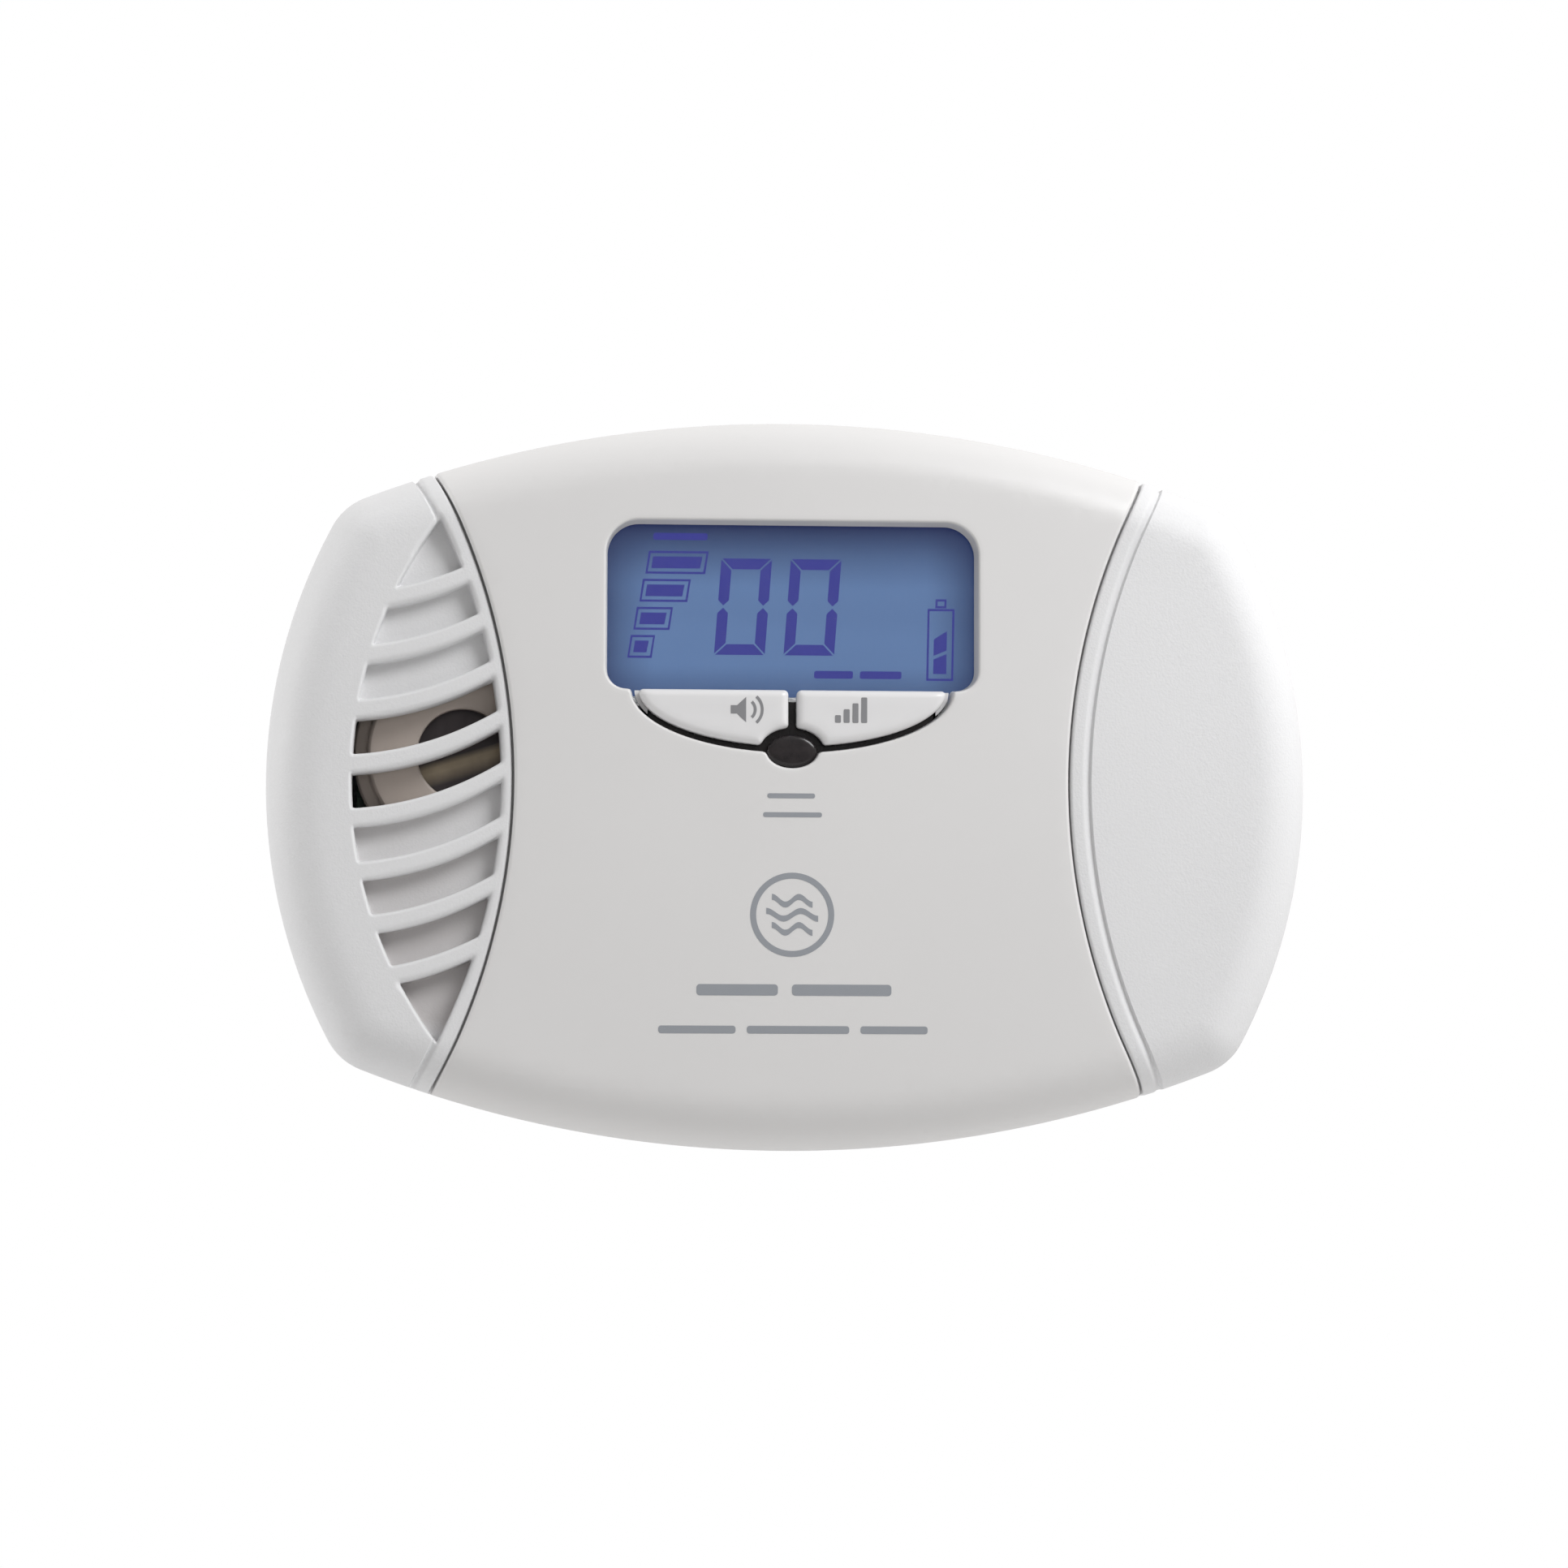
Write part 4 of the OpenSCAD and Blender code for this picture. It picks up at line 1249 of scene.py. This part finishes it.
print("display")
display = {
    "glass": 32.0,
    "rise": 0.05,
    "line": 0.32,
    "digitLow": 18.5,
    "digitHigh": 32.4,
    "digitWide": 7.3,
    "stroke": 1.55,
    "split": 0.16,
    "lean": 0.075,
}


def digitLoops(x0):
    # a numeral nought: six bars with mitred ends, parted by hairlines
    d = display
    w, t, s = d["digitWide"], d["stroke"], d["split"]
    low, high = d["digitLow"], d["digitHigh"]
    mid = (low + high) / 2
    across = [(s, high), (w - s, high), (w - t - s, high - t), (t + s, high - t)]
    along = [(0, high - s), (t, high - t - s), (t, mid + t / 2 + s), (t / 2, mid + s), (0, mid + t / 2 + s)]
    bars = [across, [(x, low + high - z) for x, z in across]]
    for flip in (False, True):
        for turn in (False, True):
            bars.append([(w - x if flip else x, low + high - z if turn else z) for x, z in along])
    return [[(x0 + x + (z - low) * d["lean"], z) for x, z in bar] for bar in bars]


def frameLoops(loop, width):
    # an outline drawn as a line of the given width
    cx = sum(p[0] for p in loop) / len(loop)
    cz = sum(p[1] for p in loop) / len(loop)
    wide = max(p[0] for p in loop) - cx
    tall = max(p[1] for p in loop) - cz
    inner = [(cx + (x - cx) * (1 - width / wide), cz + (z - cz) * (1 - width / tall)) for x, z in loop]
    return [loop, inner]


def buildDisplay():
    d = display
    loops = digitLoops(-11.0) + digitLoops(-1.0)
    # four level bars, each one narrower than the one above
    for i in range(4):
        x, z, wide = -20.9 - 0.85 * i, 30.1 - 4.05 * i, 8.6 - 1.7 * i
        outer = [(x, z), (x + wide, z), (x + wide + 0.5, z + 3.3), (x + 0.5, z + 3.3)]
        loops += frameLoops(outer, d["line"])
        fill = [(0.85, 0.8), (wide - 0.75, 0.8), (wide - 0.4, 2.5), (1.1, 2.5)]
        loops.append([(x + a, z + b) for a, b in fill])
    # cell symbol with two slanted fills
    loops += frameLoops([(19.6, 15.0), (23.5, 15.0), (23.7, 25.4), (19.8, 25.4)], d["line"])
    loops += frameLoops([(20.9, 25.5), (22.5, 25.5), (22.55, 26.8), (20.95, 26.8)], d["line"])
    loops.append([(20.6, 16.0), (22.5, 16.0), (22.55, 18.9), (20.65, 18.1)])
    loops.append([(20.65, 18.6), (22.55, 19.4), (22.6, 22.2), (20.7, 21.0)])
    loops.append(barLoop(-19.8, -12.0, 35.0, 36.0, 0.3, 0.05))
    loops += [barLoop(3.4, 9.0, 15.2, 16.3, 0.3, 0.05), barLoop(10.0, 16.0, 15.2, 16.3, 0.3, 0.05)]
    ink = displayInk("displayInk", (0.030, 0.034, 0.262))
    glass = lambda x, z: d["glass"]
    inlay("displaySegments", loops, glass, d["rise"], -0.005, "housing", ink, "display_blue")


buildDisplay()

print("indicator")
guide = {
    "half": 20.4,
    "outer": 9.7,
    "inner": 7.4,
    "back": 33.6,
    "front": 34.5,
    "bar": 2.3,
    "barTop": 11.6,
    "padX": 5.4,
    "padZ": 4.1,
}


def guideInside(x, z):
    # crescent behind the lower edge of the caps, with a bar up the gap between them
    g, low = guide, window["low"]
    if abs(x) > g["half"] or z > g["barTop"]:
        return False
    outer = ellipseDistance(x, z - low, window["ovalHalf"] + 0.6, g["outer"])
    inner = ellipseDistance(x, z - low, g["half"], g["inner"])
    pad = ellipseDistance(x, z - window["lampZ"], g["padX"], g["padZ"])
    return abs(x) < g["bar"] or (outer < 0 < inner) or pad < 0


def buildIndicator():
    # dark light guide: the oval lens under the caps and the thin crescent that shows round them
    g, low = guide, window["low"]
    skin = Skin()
    ring = []
    for half, drop in ((window["ovalHalf"] + 0.6, g["outer"]), (g["half"], g["inner"])):
        turns = [math.radians(a) for a in range(180, 361, 3)]
        ring.append(([(half * math.cos(a), low + drop * math.sin(a)) for a in turns], False))
    walls = [([(x, 0.0), (x, g["barTop"])], False) for x in (-g["half"], -g["bar"], g["bar"], g["half"])]
    walls.append(([(-g["bar"], g["barTop"]), (g["bar"], g["barTop"])], False))
    pad = [(g["padX"] * x, window["lampZ"] + g["padZ"] * z) for x, z in circleLoop(0, 0, 1, 48)]
    skin.sheet(hexGrid(-22, 22, 0, 14, 0.7), ring + walls + [(pad, True)], guideInside,
               lambda x, z: ((x, g["front"], z), (x, g["back"], z)))
    bm = skin.close()
    # the oval itself: a low dome
    levels = ((0.15, g["front"] - 0.1), (0.15, 36.3), (0.25, 36.55), (0.5, 36.72), (0.9, 36.8),
              (1.6, 36.85), (2.2, 36.87))
    rows = []
    for inset, depth in levels:
        a, b = window["lampX"] - inset, window["lampHalfZ"] - inset
        loop = [(a * x, depth, window["lampZ"] + b * z) for x, z in circleLoop(0, 0, 1, 72)]
        rows.append([bm.verts.new(point) for point in loop])
    joinRings(bm, rows)
    bm.faces.new(rows[0][::-1])
    bm.faces.new(rows[-1])
    return toObject(bm, "indicatorLens", 40)


settle(buildIndicator(), "housing", smokedPlastic("smokedLens"), "dark_lens", "indicator_lens")

print("horn")
horn = {
    # where the painted reflection band on the piezo disc is centred, how it slants, and where it starts, is
    # full, fades and ends
    "x": 46.9,
    "sheenTilt": 0.3,
    "sheen": (0.6, 2.6, 3.4, 4.4),
    "radius": 13.6,
    "shoulder": 15.6,
    "hole": 6.5,
    "bore": 12.5,
    "back": 23.0,
    "step": 29.05,
    "front": 31.0,
}


def buildHorn():
    # resonator cup: a flat disc with a rolled rim and a sounding hole, on a wider shoulder
    h = horn
    low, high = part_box("horn_housing")
    cx, cz = (low[0] + high[0]) / 2 / mm, (low[2] + high[2]) / 2 / mm
    r, wide, hole, front, step = h["radius"], h["shoulder"], h["hole"], h["front"], h["step"]
    profile = [(wide, h["back"]), (wide, step - 0.45), (wide - 0.3, step - 0.1), (wide - 0.7, step),
               (r + 0.3, step), (r + 0.05, step + 0.25), (r, front - 0.9), (r - 0.12, front - 0.5),
               (r - 0.45, front - 0.15), (r - 1.0, front), (hole + 0.5, front),
               (hole + 0.25, front - 0.05), (hole + 0.05, front - 0.2),
               (hole, front - 0.5), (hole, front - 1.6), (h["bore"], front - 1.6), (h["bore"], h["back"])]
    bm = bmesh.new()
    lathe(bm, profile, lambda a, b, t: (cx + a, t, cz + b), 96, True)
    return toObject(bm, "hornHousing", 30)


hornGrey = satinPlastic("hornGrey", (0.53, 0.46, 0.41), 0.4, 0.52, 0.00002)
settle(buildHorn(), "housing", hornGrey, "horn_grey", "horn_housing")

print("battery cells")
cells = {"radius": 7.05, "wrap": 7.1, "middle": -29.85, "band": 15.5, "tip": 27.4, "body": 49.2, "nub": 1.3}


def buildCells():
    # two AA cells head to tail, each with a crimped can, a domed nub and an insulating washer
    bm = bmesh.new()
    low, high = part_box("battery_cells")
    depth = -(low[1] + high[1]) / 2 / mm
    r, rw, n = cells["radius"], cells["wrap"], cells["body"]
    profile = [(5.6, 0.15), (6.2, 0.0), (6.7, 0.1), (r, 0.5), (rw, 0.8), (rw, n - 1.6), (r - 0.15, n - 1.0),
               (r - 0.35, n - 0.5), (r - 0.8, n - 0.25), (5.2, n - 0.2), (5.0, n - 0.45), (2.75, n - 0.45),
               (2.7, n + 0.9), (2.5, n + 1.2), (2.1, n + cells["nub"]), (0.6, n + cells["nub"])]
    top = high[2] / mm - cells["wrap"]
    bottom = low[2] / mm + cells["wrap"]
    for sign, z in ((-1, top), (1, bottom)):
        start = sign * (cells["tip"] - cells["nub"] - n)

        def along(a, b, t, sign=sign, z=z, start=start):
            return Vector((start + sign * t, depth + a, z + b * sign))

        lathe(bm, profile, along)
    return toObject(bm, "batteryCells", 30)


settle(buildCells(), "housing", cellWrap("cellWrap"), "cell_jacket", "battery_cells")

print("finishes of the packed parts")


crisp = {"weld": 0.000002, "angle": 28}


def softShade():
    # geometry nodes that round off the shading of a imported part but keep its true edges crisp
    group = bpy.data.node_groups.new("softShade", "GeometryNodeTree")
    group.interface.new_socket("Geometry", in_out="INPUT", socket_type="NodeSocketGeometry")
    group.interface.new_socket("Geometry", in_out="OUTPUT", socket_type="NodeSocketGeometry")
    nodes, links = group.nodes, group.links
    start, end = nodes.new("NodeGroupInput"), nodes.new("NodeGroupOutput")
    weld = nodes.new("GeometryNodeMergeByDistance")
    weld.inputs["Distance"].default_value = crisp["weld"]
    angle = nodes.new("GeometryNodeInputMeshEdgeAngle")
    flat = nodes.new("FunctionNodeCompare")
    flat.operation = "LESS_THAN"
    flat.inputs["B"].default_value = math.radians(crisp["angle"])
    faces, edgesNode = nodes.new("GeometryNodeSetShadeSmooth"), nodes.new("GeometryNodeSetShadeSmooth")
    edgesNode.domain = "EDGE"
    links.new(start.outputs[0], weld.inputs["Geometry"])
    links.new(weld.outputs[0], faces.inputs["Geometry"])
    links.new(faces.outputs[0], edgesNode.inputs["Geometry"])
    links.new(angle.outputs["Unsigned Angle"], flat.inputs["A"])
    links.new(flat.outputs[0], edgesNode.inputs["Shade Smooth"])
    links.new(edgesNode.outputs[0], end.inputs[0])
    return group


shading = softShade()
steelFinish = plainMetal("brightSteel", (0.62, 0.62, 0.63), 0.3, (1, 1, 0.2))
springFinish = plainMetal("nickelSpring", (0.68, 0.67, 0.65), 0.24)
canFinish = plainMetal("sensorCan", (0.55, 0.55, 0.56), 0.28, (1, 0.1, 1))
hardWhite = satinPlastic("innerWhite", (0.80, 0.80, 0.78), 0.3, 0.42, 0.00001, 0.0002)
chipBlack = blackEpoxy("chipBlack")
finishes = {
    "back_cover": rearSkin,
    "wall_bracket": rearSkin,
    "battery_door": rearSkin,
    "door_hinge_pin": steelFinish,
    "display_lens": clearPlastic("clearWindow"),
    "lcd_frame": hardWhite,
    "lcd_glass": displayGlow("displayGlow", window),
    "backlight_panel": satinPlastic("diffuser", (0.78, 0.82, 0.88), 0.2, 0.3),
    "lcd_connector": rubber("zebraStrip", (0.03, 0.03, 0.035), 2400.0),
    "status_leds": clearPlastic("lampEpoxy", (0.9, 0.95, 0.9), 0.08),
    "tact_switches": chipBlack,
    "main_board": boardMask("boardMask"),
    "co_sensor": canFinish,
    "sensor_filter": sensorFoam("filterCap"),
    "piezo_disc": hornBrass("hornBrass"),
    "horn_gasket": rubber("gasketRubber", (0.02, 0.02, 0.02)),
    "microcontroller": chipBlack,
    "small_chips": chipBlack,
    "capacitors": sleeveFilm("capSleeve"),
    "spring_contacts": springFinish,
    "flat_contacts": springFinish,
    "battery_ribbon": weave("pullRibbon", (0.06, 0.12, 0.42)),
    "battery_wires": wireJacket("redWire", (0.42, 0.02, 0.015)),
    "horn_wires": wireJacket("blackWire", (0.015, 0.015, 0.017)),
    "case_screws": steelFinish,
    "board_screws": steelFinish,
    "blank_label": labelPaper("labelFilm"),
}
for name, material in finishes.items():
    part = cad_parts[name]
    part.data.materials.clear()
    part.data.materials.append(material)
    modifier = part.modifiers.new("softShade", "NODES")
    modifier.node_group = shading

print("stage, light and camera")
stage = {
    "floorHalf": 1.2,
    "floorZ": -0.45,
    "azimuth": -3.98,
    "elevation": -3.68,
    "reach": 0.789,
    "lens": 124.0,
    "roll": 0.16,
    "shiftX": 0.0006,
    "shiftY": 0.004,
    "target": (0, -0.018, 0),
}
floorMesh = bmesh.new()
bmesh.ops.create_grid(floorMesh, x_segments=8, y_segments=8, size=stage["floorHalf"])
floorData = bpy.data.meshes.new("floor")
floorMesh.to_mesh(floorData)
floor = bpy.data.objects.new("floor", floorData)
floor.location = (0, 0, stage["floorZ"])
link(floor)
floor.data.materials.append(satinPlastic("floorPaint", (0.86, 0.86, 0.86), 0.5, 0.7))


room = {"front": 0.318, "back": 0.84, "right": 0.21, "up": 0.23, "green": 0.99, "blue": 0.978}


def buildRoom():
    # white to the camera, but lit as a studio: bright behind and overhead, dimmer from the front
    world = bpy.data.worlds.new("room")
    bpy.context.scene.world = world
    f = Finish("room", world)
    level = f.spread(f.axis(1), -1.0, 1.0, room["front"], room["back"])
    level = level + f.axis(0) * room["right"] + f.axis(2) * room["up"]
    shade = f.node("CombineXYZ", {}, {0: level, 1: level * room["green"], 2: level * room["blue"]})
    soft = f.node("Background", {}, {"Color": shade, "Strength": 1.0})
    plain = f.node("Background", {}, {"Color": (1, 1, 1), "Strength": 1.0})
    seen = f.node("LightPath", {}, {}, "Is Camera Ray")
    mixed = f.node("MixShader", {}, {0: seen, 1: soft, 2: plain})
    f.tree.links.new(mixed.socket, f.out.inputs["Surface"])


def addLamp(name, where, size, power, colour=(1, 1, 1)):
    data = bpy.data.lights.new(name, "AREA")
    data.shape = "DISK"
    data.size = size
    data.energy = power
    data.color = colour
    lamp = bpy.data.objects.new(name, data)
    link(lamp)
    lamp.location = where
    lamp.rotation_euler = (Vector(stage["target"]) - Vector(where)).to_track_quat("-Z", "Y").to_euler()


def placeCamera():
    data = bpy.data.cameras.new("camera")
    camera = bpy.data.objects.new("camera", data)
    link(camera)
    bpy.context.scene.camera = camera
    turn, rise = math.radians(stage["azimuth"]), math.radians(stage["elevation"])
    outward = Vector((math.sin(turn) * math.cos(rise), -math.cos(turn) * math.cos(rise), math.sin(rise)))
    camera.location = Vector(stage["target"]) + outward * stage["reach"]
    look = (-outward).to_track_quat("-Z", "Y").to_matrix()
    camera.rotation_euler = (look @ Matrix.Rotation(math.radians(stage["roll"]), 3, "Z")).to_euler()
    data.lens = stage["lens"]
    data.shift_x = stage["shiftX"]
    data.shift_y = stage["shiftY"]
    data.clip_start = 0.05
    data.clip_end = 10


buildRoom()
addLamp("keyLamp", (0.35, -0.40, 0.42), 0.36, 3.05, (0.985, 0.99, 1.0))
addLamp("leftRim", (-0.62, 0.02, 0.15), 0.4, 1.9)
addLamp("rightRim", (0.62, 0.02, 0.20), 0.4, 0.4)
placeCamera()
bpy.context.scene.view_settings.view_transform = "Standard"
